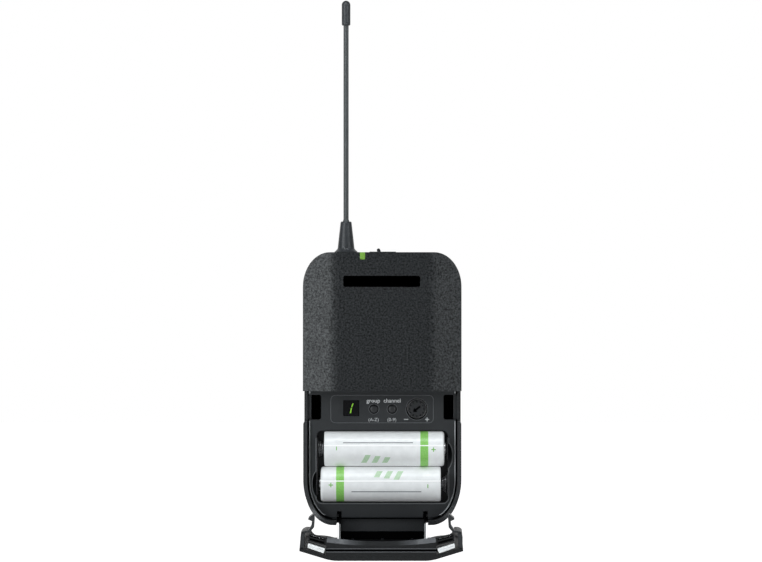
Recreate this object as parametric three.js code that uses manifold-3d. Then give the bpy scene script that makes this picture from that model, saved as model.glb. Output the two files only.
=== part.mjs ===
// Belt-worn wireless microphone transmitter: a two-part moulded case with a hinged battery door, two AA
// cells, a small control panel, a whip antenna, a power switch and a recessed four-pin jack.
// Millimetres. +X to the wearer's right when facing the pack, +Z up along the antenna, front towards -Y.
// The origin is the middle of the flat land on the back that rests against the belt.
import * as THREE from "three";
import { mergeVertices } from "three/addons/utils/BufferGeometryUtils.js";
import Module from "manifold-3d";

const wasm = await Module();
wasm.setup();

// ---- driving dimensions ----
const WIDTH = 64;
const HEIGHT = 110;
const FRONT = -21;               // front surface of the case; the belt land is at 0
const BACK = -0.3;               // back surface around the belt land
const PARTING = -9.5;            // plane where the front mouldings meet the back shell
const WALL = 1.6;
const SEAM = 0.15;               // half of the gap between mouldings
const TOP_CORNER = [11, 14];     // width and height of the rounded corners
const BOTTOM_CORNER = [12, 18];
const FLAT_HALF = 17;            // flat centre of the front, then a blend, then sloping facets
const FACET_START = 22;
const FACET_SLOPE = 0.304;
const COVER_BOTTOM = -1;         // lower edge of the front cover
const DOOR_TOP = -1.4;
const FACE = -10.8;              // front of the chassis: control panel and battery surround
const FACE_WALL = 1.5;
const CHASSIS_HALF = 29.7;
const CHASSIS_BOTTOM = -52.2;
const RIM_Y = -13;               // the back shell's rim beside the batteries
const CORNER = { start: 18.35, crest: 19.5, r: 9.9, edgeR: 6.1 };  // its bottom corners, turned about the hinge
const HINGE = { y: -9.2, z: -51.6, pin: 0.6, bore: 0.75 };
const DOOR_OPEN = THREE.MathUtils.degToRad(93);
const STRAP_HALF = 16.6;         // door bottom wall between the two hinge arms
const ARM = [16.9, 18.1];
const ARM_SLOT = [16.5, 18.5];
const LUG = [18.5, 20.5];
const LATCH_Z = [-13.2, -2];     // finger pads of the squeeze latches
const SLOT = { x: [24.8, 30.5], z: [-12.8, -2.7] };  // open to the edge of the chassis
const CELL = { r: 7.05, length: 48.7, nub: 0.9, nubR: 2.75, y: -10.3, upperZ: -24.6, lowerZ: -38.9 };
const CELL_SHIFT = 0.85;         // a cell sits nearer the contact at its raised end
const BAY = { x: 26.6, top: -17.2, bottom: -46.5, floor: -2.9, wall: 1.2 };
const PANEL_Z = -8.5;            // centre line of the buttons and dial
const BUTTON = { r: 1.6, hole: 1.85, group: -3.4, channel: 4 };
const DIAL = { x: 14, r: 3.5, well: 4.3 };
const DISPLAY = { x: -12.6, z: -8.2, size: 6.5 };
const TOP_Y = -10.5;             // depth of the antenna, switch and jack axes
const ANTENNA = { x: -14.7, r: 1.05, bootTop: 67.5, tip: 157, capR: 1.75, capLength: 10, ball: 1.3 };
const LIGHT = { x: -7.9, half: 1.1, drop: 3 };
const SWITCH = { x: 0.2, pivotZ: 50.4, tip: 56.9, lean: 17.5 };
const JACK = { x: 16, r: 5.2, bore: 4.45, bottom: 42 };
const BOARD = { y: [-6.5, -5.3], half: 20.4 };
const SCREWS = [[-24, 42], [24, 42], [-24, 9], [24, 9]];
const PLATE = { x: 17, z: [16, 36] };
const LAND = { x: 18, z: 12 };
const CLIP = { r: 0.9, pivotY: -4.7, pivotZ: 22, side: 30.7, legY: 6.2, bay: 29.5 };

// ---- materials ----
const material = (name, color, roughness, metalness = 0) =>
  Object.assign(new THREE.MeshStandardMaterial({ color, roughness, metalness }), { name });
const caseBlack = material("case_black", 0x34383b, 0.75);
const chassisBlack = material("chassis_black", 0x303235, 0.6);
const buttonBlack = material("button_black", 0x2b2c2e, 0.6);
const windowDark = material("window_dark", 0x0c0c0e, 0.15);
const glowGreen = material("glow_green", 0x66d83a, 0.4);
const rubberBlack = material("rubber_black", 0x1d1e20, 0.85);
const coatedWire = material("coated_wire", 0x232426, 0.5);
const steel = material("steel", 0xb8bcc0, 0.3, 1);
const springSteel = material("spring_steel", 0xa8acb0, 0.35, 1);
const brassGold = material("brass_gold", 0xc9a24a, 0.3, 1);
const boardGreen = material("board_green", 0x1f5a38, 0.55);
const canSilver = material("can_silver", 0xc4c7c9, 0.35, 1);
const cellLabel = material("cell_label", 0xf0f1ef, 0.45);
const plateGrey = material("plate_grey", 0xb9bbbc, 0.5);

// ---- solid helpers ----
function solid(geometry) {
  geometry.deleteAttribute("normal");
  geometry.deleteAttribute("uv");
  const g = mergeVertices(geometry, 1e-4);
  const mesh = new wasm.Mesh({
    numProp: 3,
    vertProperties: new Float32Array(g.attributes.position.array),
    triVerts: new Uint32Array(g.index.array),
  });
  return new wasm.Manifold(mesh);
}

function geometryOf(body) {
  const mesh = body.getMesh();
  const g = new THREE.BufferGeometry();
  g.setAttribute("position", new THREE.BufferAttribute(new Float32Array(mesh.vertProperties), 3));
  g.setIndex(new THREE.BufferAttribute(new Uint32Array(mesh.triVerts), 1));
  g.computeVertexNormals();
  return g;
}

const join = (...parts) => parts.reduce((a, b) => a.add(b));
const cut = (body, ...tools) => tools.reduce((a, b) => a.subtract(b), body);

const span = (a, b) => [Math.min(a, b), Math.max(a, b)];

function box(x, y, z) {
  const [[x0, x1], [y0, y1], [z0, z1]] = [span(...x), span(...y), span(...z)];
  const g = new THREE.BoxGeometry(x1 - x0, y1 - y0, z1 - z0);
  return solid(g.translate((x0 + x1) / 2, (y0 + y1) / 2, (z0 + z1) / 2));
}

// A shape drawn in X and Z, pushed along Y.
function alongY(shape, [y0, y1], curveSegments = 10) {
  const g = new THREE.ExtrudeGeometry(shape, { depth: y1 - y0, bevelEnabled: false, curveSegments });
  return solid(g.rotateX(Math.PI / 2).translate(0, y1, 0));
}

// A shape drawn in X and Y, pushed along Z.
function alongZ(shape, [z0, z1], curveSegments = 10) {
  const g = new THREE.ExtrudeGeometry(shape, { depth: z1 - z0, bevelEnabled: false, curveSegments });
  return solid(g.translate(0, 0, z0));
}

// A shape drawn in Y and Z, pushed along X.
function alongX(shape, x, curveSegments = 8) {
  const [x0, x1] = span(...x);
  const g = new THREE.ExtrudeGeometry(shape, { depth: x1 - x0, bevelEnabled: false, curveSegments });
  const turn = new THREE.Matrix4().set(0, 0, 1, x0, 1, 0, 0, 0, 0, 1, 0, 0, 0, 0, 0, 1);
  return solid(g.applyMatrix4(turn));
}

function polygon(points) {
  return new THREE.Shape(points.map(([a, b]) => new THREE.Vector2(a, b)));
}

function roundedRect(x, z, r) {
  const [[x0, x1], [z0, z1]] = [span(...x), span(...z)];
  const s = new THREE.Shape();
  s.moveTo(x0 + r, z0).lineTo(x1 - r, z0).absarc(x1 - r, z0 + r, r, -Math.PI / 2, 0);
  s.lineTo(x1, z1 - r).absarc(x1 - r, z1 - r, r, 0, Math.PI / 2);
  s.lineTo(x0 + r, z1).absarc(x0 + r, z1 - r, r, Math.PI / 2, Math.PI);
  s.lineTo(x0, z0 + r).absarc(x0 + r, z0 + r, r, Math.PI, 1.5 * Math.PI);
  return s;
}

// A turned body from [radius, position] pairs, standing along +Z at x, y.
function turned(profile, x, y, segments = 28) {
  const g = new THREE.LatheGeometry(profile.map(([r, h]) => new THREE.Vector2(r, h)), segments);
  return solid(g.rotateX(Math.PI / 2).translate(x, y, 0));
}

const rod = (r, [z0, z1], x, y, segments = 24) =>
  turned([[0, z0], [r, z0], [r, z1], [0, z1]], x, y, segments);

// Cylinders lying along X or Y.
const rodX = (r, x, y, z, segments = 24) => lying(r, span(...x), "x", segments).translate([0, y, z]);
const rodY = (r, y, x, z, segments = 24) => lying(r, span(...y), "y", segments).translate([x, 0, z]);

function lying(r, [a, b], axis, segments) {
  const g = new THREE.CylinderGeometry(r, r, b - a, segments).translate(0, (a + b) / 2, 0);
  return solid(axis === "x" ? g.rotateZ(-Math.PI / 2) : g);
}

function wire(points, r, steps, sides = 8, closed = false) {
  const path = new THREE.CatmullRomCurve3(points.map((p) => new THREE.Vector3(...p)), closed, "centripetal");
  const ring = new THREE.Shape();
  ring.absarc(0, 0, r, 0, 2 * Math.PI);
  const options = { steps, extrudePath: path, bevelEnabled: false, curveSegments: sides / 2 };
  return solid(new THREE.ExtrudeGeometry(ring, options));
}

// ---- case form ----
// Front view of the case, drawn in from its edge by inset.
function outline(inset) {
  const half = WIDTH / 2 - inset;
  const [top, bottom] = [HEIGHT / 2 - inset, -HEIGHT / 2 + inset];
  const [tx, tz] = TOP_CORNER.map((v) => v - inset);
  const [bx, bz] = BOTTOM_CORNER.map((v) => v - inset);
  const s = new THREE.Shape();
  s.moveTo(-half + bx, bottom).lineTo(half - bx, bottom);
  s.absellipse(half - bx, bottom + bz, bx, bz, -Math.PI / 2, 0);
  s.lineTo(half, top - tz).absellipse(half - tx, top - tz, tx, tz, 0, Math.PI / 2);
  s.lineTo(-half + tx, top).absellipse(-half + tx, top - tz, tx, tz, Math.PI / 2, Math.PI);
  s.lineTo(-half, bottom + bz).absellipse(-half + bx, bottom + bz, bx, bz, Math.PI, 1.5 * Math.PI);
  return s;
}

// Plan view of the case: flat front, sloping facets, straight sides and a softly rounded back.
function section(inset) {
  const half = WIDTH / 2 - inset;
  const front = FRONT + inset;
  const crest = (FLAT_HALF + FACET_START) / 2;
  const facetY = (x) => front + (x - crest) * FACET_SLOPE;
  const [back, round] = [BACK - inset, 3];
  const s = new THREE.Shape();
  s.moveTo(-FLAT_HALF, front).lineTo(FLAT_HALF, front);
  s.quadraticCurveTo(crest, front, FACET_START, facetY(FACET_START)).lineTo(half, facetY(half));
  s.lineTo(half, back - round).quadraticCurveTo(half, back, half - round, back);
  s.lineTo(-half + round, back).quadraticCurveTo(-half, back, -half, back - round);
  s.lineTo(-half, facetY(half)).lineTo(-FACET_START, facetY(FACET_START));
  s.quadraticCurveTo(-crest, front, -FLAT_HALF, front);
  return s;
}

const caseForm = (inset) =>
  alongY(outline(inset), [FRONT - 5, 5], 9).intersect(alongZ(section(inset), [-60, 60], 5));

const ALL_X = [-40, 40];
const ALL_Y = [-30, 10];
const mirrored = (build) => [-1, 1].map((side) => build(side));

// ---- case mouldings ----
const bossRing = (r, y) => SCREWS.map(([x, z]) => rodY(r, y, x, z, 16));

function frontCover() {
  const front = join(
    caseForm(0).intersect(box(ALL_X, [-30, PARTING - SEAM], [COVER_BOTTOM, 60])),
    caseForm(0).intersect(box(ALL_X, ALL_Y, [HEIGHT / 2 - WALL, 60])),
  );
  const hollow = caseForm(WALL).intersect(box(ALL_X, ALL_Y, [COVER_BOTTOM + WALL, 60]));
  const shut = box([-CHASSIS_HALF, CHASSIS_HALF], [FACE - 0.3, 0], [-5, COVER_BOTTOM + 3]);
  const bosses = bossRing(2.6, [FRONT, PARTING - SEAM]).map((post) => post.intersect(caseForm(0.5)));
  const body = join(cut(front, hollow, shut), ...bosses);
  const lightSlot = box([LIGHT.x - LIGHT.half - 0.1, LIGHT.x + LIGHT.half + 0.1],
    [FRONT - 1, FRONT + 7.1], [HEIGHT / 2 - LIGHT.drop - 0.1, 60]);
  return cut(body, ...bossRing(1.1, [-16, 0]), lightSlot,
    rod(2.9, [50, 60], ANTENNA.x, TOP_Y), rod(JACK.r + 0.15, [50, 60], JACK.x, TOP_Y, 32),
    box([SWITCH.x - 5.5, SWITCH.x + 5.5], [TOP_Y - 2.8, TOP_Y + 2.8], [50, 60]));
}

// The room the door's corner sweeps round as it swings: it narrows with the slope of the facet.
function cornerSweep(side, gap) {
  const { start, crest, r, edgeR } = CORNER;
  const end = WIDTH / 2 + 1;
  const profile = [[0, start], [r + gap, start], [r + gap, crest], [edgeR + gap, end], [0, end]];
  const g = new THREE.LatheGeometry(profile.map(([a, b]) => new THREE.Vector2(a, b)), 64);
  return solid(g.rotateZ(side > 0 ? -Math.PI / 2 : Math.PI / 2)).translate([0, HINGE.y, HINGE.z]);
}

function backShell() {
  const lid = HEIGHT / 2 - WALL - 2 * SEAM;
  const sides = box(ALL_X, [RIM_Y, 0], [-60, LATCH_Z[0] - 0.2]);
  const corners = mirrored((s) => cornerSweep(s, 0));
  const outer = caseForm(0).intersect(join(box(ALL_X, [PARTING + SEAM, 10], [-60, lid]), sides, ...corners));
  const land = box([-LAND.x, LAND.x], [BACK - 0.5, 0], [-LAND.z, LAND.z]);
  const posts = bossRing(3, [-9.2, BACK - 0.5]);
  const hingeGap = box([-LUG[0] - 0.1, LUG[0] + 0.1], [-20, -5.2], [-60, -52.6]);
  const plateSeat = box([-PLATE.x - 0.1, PLATE.x + 0.1], [BACK - 0.4, 5],
    [PLATE.z[0] - 0.1, PLATE.z[1] + 0.1]);
  const gripCut = (side) => alongY(polygon([
    [side * 31.1, COVER_BOTTOM], [side * 40, COVER_BOTTOM], [side * 40, -16], [side * 32, -14.4],
    [side * 31.1, -12.4]]), [-15, -2.2]);
  const clipBoss = (side) => box([side * (CLIP.bay - 3), side * 31], [-8.4, BACK - 0.5],
    [CLIP.pivotZ - 6, CLIP.pivotZ + 3.5]);
  const clipBay = (side) => box([side * CLIP.bay, side * 40], [-6.6, 5], [CLIP.pivotZ - 4.5, CLIP.pivotZ + 2]);
  const pivotHole = (side) => rodX(CLIP.r + 0.2, [side * (CLIP.bay - 2.2), side * 34],
    CLIP.pivotY, CLIP.pivotZ, 16);
  const body = join(cut(outer, caseForm(WALL)), land, ...mirrored(clipBoss), ...posts);
  return cut(body, hingeGap, plateSeat, ...mirrored(gripCut), ...mirrored(clipBay), ...mirrored(pivotHole),
    ...bossRing(1.2, [-12, 5]), ...bossRing(2.3, [-2, 5]));
}

function chassis() {
  const half = CHASSIS_HALF;
  const plate = alongY(outline(WIDTH / 2 - half), [FACE, FACE + FACE_WALL], 9)
    .intersect(box(ALL_X, ALL_Y, [CHASSIS_BOTTOM, 3.2]));
  const [bx, w] = [BAY.x, BAY.wall];
  const tub = alongY(roundedRect([-bx - w, bx + w], [BAY.bottom - w, BAY.top + w], 4),
    [FACE + 0.5, BAY.floor + 1], 5).intersect(caseForm(WALL + 0.3));
  const hollow = alongY(roundedRect([-bx, bx], [BAY.bottom, BAY.top], 3), [FACE - 1, BAY.floor], 5);
  const lugs = mirrored((s) => box([s * LUG[0], s * LUG[1]], [FACE, -7.6], [-53, -50]));
  const armSlots = mirrored((s) => box([s * ARM_SLOT[0], s * ARM_SLOT[1]], [-12, -8], [-60, -49.3]));
  const pinHoles = mirrored((s) => rodX(0.68, [s * 18, s * 21], HINGE.y, HINGE.z, 16));
  const latchSlots = mirrored((s) => alongY(roundedRect(SLOT.x.map((x) => s * x), SLOT.z, 0.8), [-12, -8], 4));
  const d = DISPLAY.size / 2;
  const scallops = [
    alongY(roundedRect([BAY.x - 3, BAY.x + 1.1], [-31.8, -22.9], 1), [-12, -9.6], 4),
    alongY(roundedRect([-BAY.x - 1.1, -BAY.x + 3], [-43.1, -34.6], 1), [-12, -9.6], 4),
  ];
  return cut(join(plate, tub, ...lugs), hollow, ...armSlots, ...pinHoles, ...latchSlots, ...scallops,
    box([DISPLAY.x - d, DISPLAY.x + d], [-12, -8], [DISPLAY.z - d, DISPLAY.z + d]),
    rodY(BUTTON.hole, [-12, -8], BUTTON.group, PANEL_Z), rodY(BUTTON.hole, [-12, -8], BUTTON.channel, PANEL_Z),
    rodY(DIAL.well, [-12, -8], DIAL.x, PANEL_Z, 32));
}

// ---- battery door and its latches, drawn shut ----
function batteryDoor() {
  const front = caseForm(0).intersect(box(ALL_X, [-30, PARTING - SEAM], [-60, DOOR_TOP]));
  const shell = cut(front, caseForm(WALL - 0.1).intersect(box(ALL_X, ALL_Y, [-60, 60])));
  const openSides = mirrored((s) => box([s * 18.3, s * 40], [RIM_Y - SEAM, 5], [-60, LATCH_Z[0]]));
  const openCorners = mirrored((s) => cornerSweep(s, 0.25));
  const latchBays = mirrored((s) => box([s * 29.2, s * 40], [-16.4, 5], [LATCH_Z[0] - 0.3, 5]));
  const lowFloor = box([-18.3, 18.3], [-19.5, 5], [-60, -50]);
  const endWall = box([-21.8, 21.8], [FRONT + 1, -12.85], [DOOR_TOP - 1.6, DOOR_TOP]);
  const strap = box([-STRAP_HALF - 0.4, STRAP_HALF + 0.4], [FRONT + 0.6, -7.9], [-55, -53.6]);
  const arm = (s) => alongX(polygon([
    [FRONT + 0.8, -55], [-7.9, -55], [-7.7, -51.4], [-8.2, -50.5], [-9.2, -50.1], [-10.2, -50.5],
    [-10.7, -51.6], [FRONT + 1.2, -53.4]]), [s * ARM[0], s * ARM[1]]);
  const pads = [-12, 0, 12].map((x) => box([x - 0.6, x + 0.6], [-19.6, -18.4], [-50, -8]));
  const bores = mirrored((s) => rodX(HINGE.bore, [s * 16, s * 19], HINGE.y, HINGE.z, 20));
  const body = join(cut(shell, ...openSides, ...openCorners, ...latchBays, lowFloor), endWall, strap,
    ...mirrored(arm), ...pads);
  return cut(body, ...bores);
}

function latch(side) {
  const arm = alongZ(polygon([
    [31.9, -15.9], [31.9, -9.8], [30.4, -9.8], [29.4, -10.6], [28.1, -8.6], [28.1, -5.9], [28.6, -5.7],
    [27.3, -3.3], [26.6, -3.6], [26.9, -9], [28.4, -11.6], [29.2, -13], [22.4, -15.6], [22.6, -16.4],
    [29.6, -15.6], [30.2, -15.9]].map(([x, y]) => [side * x, y])), [-9, -3]);
  const pad = box([side * 30.6, side * 31.9], [-15.9, -9.8], [LATCH_Z[0], LATCH_Z[1]]);
  return join(arm, pad);
}

// Turns a body drawn with the door shut to where it is with the door open.
function opened(body) {
  const turn = (THREE.MathUtils.radToDeg(DOOR_OPEN));
  return body.translate([0, -HINGE.y, -HINGE.z]).rotate([turn, 0, 0]).translate([0, HINGE.y, HINGE.z]);
}

// ---- controls ----
const button = (x) => join(
  rodY(BUTTON.r, [-11.3, -7.4], x, PANEL_Z), rodY(2.4, [-9, -8.3], x, PANEL_Z));

function gainDial() {
  const z = PANEL_Z;
  const disc = join(rodY(DIAL.r, [FACE - 0.1, -8.6], DIAL.x, z, 32), rodY(1.5, [-8.8, -7.9], DIAL.x, z));
  const arrow = alongY(polygon([
    [-1.9, -0.25], [0.6, -0.25], [0.6, -1], [2, 0], [0.6, 1], [0.6, 0.25], [-1.9, 0.25]]), [0, 2]);
  return cut(disc, arrow.rotate([0, 144, 0]).translate([DIAL.x, FACE - 1.4, z]));
}

const gainPot = () => cut(box([DIAL.x - 4.2, DIAL.x + 4.2], [-7.7, -6.6], [PANEL_Z - 4.2, PANEL_Z + 4.2]),
  rodY(1, [-8, -6], DIAL.x, PANEL_Z, 16));

function displayModule() {
  const d = DISPLAY.size / 2 + 0.6;
  return box([DISPLAY.x - d, DISPLAY.x + d], [-9.1, -6.6], [DISPLAY.z - d, DISPLAY.z + d]);
}

function displayWindow() {
  const d = DISPLAY.size / 2 - 0.15;
  return box([DISPLAY.x - d, DISPLAY.x + d], [-10.5, -9.6], [DISPLAY.z - d, DISPLAY.z + d]);
}

// The lit numeral: two slanted bars behind the window.
function segment(low) {
  const z = DISPLAY.z + (low ? -2 : 0.2);
  const x = DISPLAY.x + (low ? -0.3 : 0.1);
  return alongY(polygon([[x - 0.35, z], [x + 0.35, z], [x + 0.65, z + 1.8], [x - 0.05, z + 1.8]]),
    [-9.45, -9.2]);
}

function lightPipe() {
  const [x0, x1] = [LIGHT.x - LIGHT.half, LIGHT.x + LIGHT.half];
  return caseForm(0).intersect(box([x0, x1], [-30, FRONT + 7], [HEIGHT / 2 - LIGHT.drop, 60]));
}

function switchBezel() {
  const base = box([SWITCH.x - 5.35, SWITCH.x + 5.35], [TOP_Y - 2.65, TOP_Y + 2.65], [53.2, 55.3]);
  return cut(base, box([SWITCH.x - 2.8, SWITCH.x + 2.8], [TOP_Y - 1, TOP_Y + 1], [50, 60]));
}

function switchHousing() {
  const base = box([SWITCH.x - 5, SWITCH.x + 5], [TOP_Y - 2.6, TOP_Y + 2.6], [45.6, 52.9]);
  return cut(base, box([SWITCH.x - 3, SWITCH.x + 3], [TOP_Y - 1.2, TOP_Y + 1.2], [48.6, 60]));
}

function switchLever() {
  const { x, pivotZ, tip, lean } = SWITCH;
  const stem = tip - pivotZ;
  const body = join(box([-0.75, 0.75], [-0.8, 0.8], [0, stem - 0.6]), box([-0.6, 0.6], [-0.8, 0.8], [0, stem]),
    rodY(1.3, [-0.8, 0.8], 0, 0, 20));
  return body.rotate([0, -lean, 0]).translate([x, TOP_Y, pivotZ]);
}

// ---- antenna ----
function antennaBoot() {
  const top = ANTENNA.bootTop;
  const dimple = Array.from({ length: 7 }, (_, i) => {
    const a = (i / 6) * (Math.PI / 2);
    return [1.5 * Math.cos(a), top - 1.5 * Math.sin(a)];
  });
  return turned([[0, 52.8], [2.6, 52.8], [2.6, 55.15], [4.7, 55.15], [4.5, 55.7], [3.6, 56.3], [3.35, 57],
    [2.1, top], ...dimple.slice(0, -1), [0, top - 1.5]], ANTENNA.x, TOP_Y);
}

function antennaWhip() {
  const { bootTop, ball, r, tip } = ANTENNA;
  const low = Array.from({ length: 8 }, (_, i) => {
    const a = -Math.PI / 2 + (i / 7) * (Math.PI / 2 + Math.acos(r / ball));
    return [ball * Math.cos(a), bootTop + ball * Math.sin(a)];
  });
  return turned([[0, bootTop - ball], ...low.slice(1), [r, tip - 8], [0, tip - 8]], ANTENNA.x, TOP_Y, 20);
}

function antennaTip() {
  const { tip, capR, capLength, r } = ANTENNA;
  const start = tip - capLength;
  return turned([[r + 0.15, start], [capR - 0.2, start], [capR, start + 0.6], [capR, tip - 1.4], [1.3, tip - 0.6],
    [0.7, tip], [0, tip], [0, tip - 7.8], [r + 0.15, tip - 7.8], [r + 0.15, start]], ANTENNA.x, TOP_Y, 20);
}

function antennaPost() {
  const stud = rod(1.6, [44, 52.5], ANTENNA.x, TOP_Y, 16);
  return join(stud, rod(2.4, [42.5, 45], ANTENNA.x, TOP_Y, 6));
}

// ---- jack ----
function jackShell() {
  const { x, r, bore, bottom } = JACK;
  const tube = turned([[bore, bottom], [r, bottom], [r, 55], [bore, 55], [bore, bottom]], x, TOP_Y, 32);
  return cut(tube, box([x - 1, x + 1], [TOP_Y - 6, TOP_Y - bore + 0.3], [49, 60]));
}

function jackInsert() {
  const pins = jackPinSpots().map(([x, y]) => rod(0.6, [40, 50], x, y, 12));
  return cut(rod(JACK.bore - 0.1, [JACK.bottom, 46], JACK.x, TOP_Y, 32), ...pins);
}

const jackPinSpots = () => [45, 135, 225, 315].map((deg) => {
  const a = THREE.MathUtils.degToRad(deg);
  return [JACK.x + 2.3 * Math.cos(a), TOP_Y + 2.3 * Math.sin(a)];
});

// ---- cells and contacts ----
function cell(z, side) {
  const { r, length, nub, nubR, y } = CELL;
  const [neg, pos] = [-length / 2, length / 2];
  const profile = [[0, neg], [r - 0.5, neg], [r, neg + 0.5], [r, pos - 0.7], [r - 0.7, pos], [nubR, pos],
    [nubR, pos + nub - 0.2], [nubR - 0.2, pos + nub], [0, pos + nub]];
  const g = new THREE.LatheGeometry(profile.map(([a, b]) => new THREE.Vector2(a, b)), 32);
  return solid(g.rotateZ(side > 0 ? -Math.PI / 2 : Math.PI / 2)).translate([side * CELL_SHIFT, y, z]);
}

function contactCoil(z, side) {
  const turns = 2.4;
  const count = 26;
  const points = Array.from({ length: count + 1 }, (_, i) => {
    const a = (i / count) * turns * 2 * Math.PI;
    const r = 3.4 - 1.2 * (i / count);
    return [side * (26 - 2.2 * (i / count)), CELL.y + r * Math.cos(a), z + r * Math.sin(a)];
  });
  return wire(points, 0.22, 58, 6);
}

const plateX = (side) => [side * 26.25, side * 26.5];
const contactPlate = (side, z) => box(plateX(side), [CELL.y - 4.5, -3.2], [z - 4.5, z + 4.5]);
const linkPlate = () => box(plateX(-1), [CELL.y - 4.5, -3.2], [CELL.lowerZ - 4.5, CELL.upperZ + 4.5]);

// ---- inside ----
function mainBoard() {
  const upper = box([-BOARD.half, BOARD.half], BOARD.y, [2, 40.5]);
  return join(upper, box([-BOARD.half, BOARD.half], BOARD.y, [-15.2, 3]));
}

const caseScrew = ([x, z]) => join(rodY(2, [-1.95, -0.7], x, z, 16), rodY(0.95, [-15, -1.5], x, z, 12));

// ---- belt clip ----
function beltClip() {
  const { r, pivotY, pivotZ, side, legY } = CLIP;
  const half = [[side - 2.8, pivotY, pivotZ], [side - 0.6, pivotY, pivotZ],
    [side, pivotY + 0.8, pivotZ - 0.2], [side, -1, pivotZ - 1.2], [side - 0.2, 3, pivotZ - 3],
    [side - 2, legY - 0.6, pivotZ - 5.5],
    [25, legY, pivotZ - 9], [21, legY, pivotZ - 14], [20, legY, 0], [19.4, legY, -20], [18.2, 4, -30],
    [15, 1.9, -37], [8, 1.6, -40.4]];
  const right = half.map(([x, y, z]) => [x, y, z]);
  const left = half.map(([x, y, z]) => [-x, y, z]).reverse();
  return wire([...right, [0, 1.6, -41], ...left], r, 96, 8);
}

// ---- assembly ----
const group = new THREE.Group();
group.name = "bodypack_transmitter";

function add(name, body, look) {
  const mesh = new THREE.Mesh(geometryOf(body), look);
  mesh.name = name;
  group.add(mesh);
}

const sides = [["left", -1], ["right", 1]];

add("front_cover", frontCover(), caseBlack);
add("back_shell", backShell(), caseBlack);
add("chassis", chassis(), chassisBlack);
add("battery_door", opened(batteryDoor()), caseBlack);
for (const [name, side] of sides) {
  add(`latch_${name}`, opened(latch(side)), chassisBlack);
  add(`hinge_pin_${name}`, rodX(HINGE.pin, [side * 16.6, side * 20.4], HINGE.y, HINGE.z, 16), steel);
}
add("group_button", button(BUTTON.group), buttonBlack);
add("channel_button", button(BUTTON.channel), buttonBlack);
add("gain_dial", gainDial(), buttonBlack);
add("gain_pot", gainPot(), canSilver);
add("display_module", displayModule(), windowDark);
add("display_window", displayWindow(), windowDark);
add("digit_segment_upper", segment(false), glowGreen);
add("digit_segment_lower", segment(true), glowGreen);
add("status_light_pipe", lightPipe(), glowGreen);
add("switch_bezel", switchBezel(), buttonBlack);
add("switch_housing", switchHousing(), buttonBlack);
add("power_switch", switchLever(), buttonBlack);
add("antenna_boot", antennaBoot(), rubberBlack);
add("antenna_post", antennaPost(), brassGold);
add("antenna_whip", antennaWhip(), coatedWire);
add("antenna_tip", antennaTip(), rubberBlack);
add("jack_shell", jackShell(), steel);
add("jack_insert", jackInsert(), buttonBlack);
jackPinSpots().forEach(([x, y], i) => add(`jack_pin_${i + 1}`, rod(0.5, [41, 50], x, y, 12), brassGold));
add("battery_upper", cell(CELL.upperZ, 1), cellLabel);
add("battery_lower", cell(CELL.lowerZ, -1), cellLabel);
add("contact_coil_upper", contactCoil(CELL.upperZ, -1), springSteel);
add("contact_coil_lower", contactCoil(CELL.lowerZ, 1), springSteel);
add("contact_plate_upper", contactPlate(1, CELL.upperZ), springSteel);
add("contact_plate_lower", contactPlate(1, CELL.lowerZ), springSteel);
add("contact_link", linkPlate(), springSteel);
add("main_board", mainBoard(), boardGreen);
add("shield_can", box([-14, 14], [-11.5, -6.6], [12, 36]), canSilver);
SCREWS.forEach((spot, i) => add(`case_screw_${i + 1}`, caseScrew(spot), steel));
add("rating_plate", box([-PLATE.x, PLATE.x], [BACK - 0.3, BACK], PLATE.z), plateGrey);
add("belt_clip", beltClip(), springSteel);

export default group;
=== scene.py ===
"""Looks for the belt-worn wireless transmitter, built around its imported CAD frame."""

import math

import bmesh
import bpy
from mathutils import Matrix, Vector


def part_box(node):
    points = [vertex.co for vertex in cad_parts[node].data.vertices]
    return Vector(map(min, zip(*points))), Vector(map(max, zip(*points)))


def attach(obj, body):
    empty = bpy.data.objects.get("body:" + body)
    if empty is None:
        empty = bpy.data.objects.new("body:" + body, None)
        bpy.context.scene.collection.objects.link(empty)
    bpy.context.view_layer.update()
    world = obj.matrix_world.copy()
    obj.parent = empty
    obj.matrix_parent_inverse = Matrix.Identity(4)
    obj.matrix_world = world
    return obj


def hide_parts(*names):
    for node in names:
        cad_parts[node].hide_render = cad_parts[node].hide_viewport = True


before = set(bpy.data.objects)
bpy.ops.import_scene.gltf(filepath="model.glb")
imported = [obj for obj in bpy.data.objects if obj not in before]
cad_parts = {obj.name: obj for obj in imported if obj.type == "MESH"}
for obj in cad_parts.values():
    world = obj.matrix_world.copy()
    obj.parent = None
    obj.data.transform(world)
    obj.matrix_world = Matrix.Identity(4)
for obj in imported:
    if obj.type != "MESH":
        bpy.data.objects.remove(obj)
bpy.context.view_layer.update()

MM = 0.001
SIDES = ((-1, "left"), (1, "right"))


def extent(name):
    """How far a CAD piece reaches at rest: (low, high) along X, Y and Z, in millimetres."""
    return [(round(low / MM, 2), round(high / MM, 2)) for low, high in zip(*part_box(name))]


def middle(name):
    return [round((low + high) / 2, 2) for low, high in extent(name)]


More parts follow.
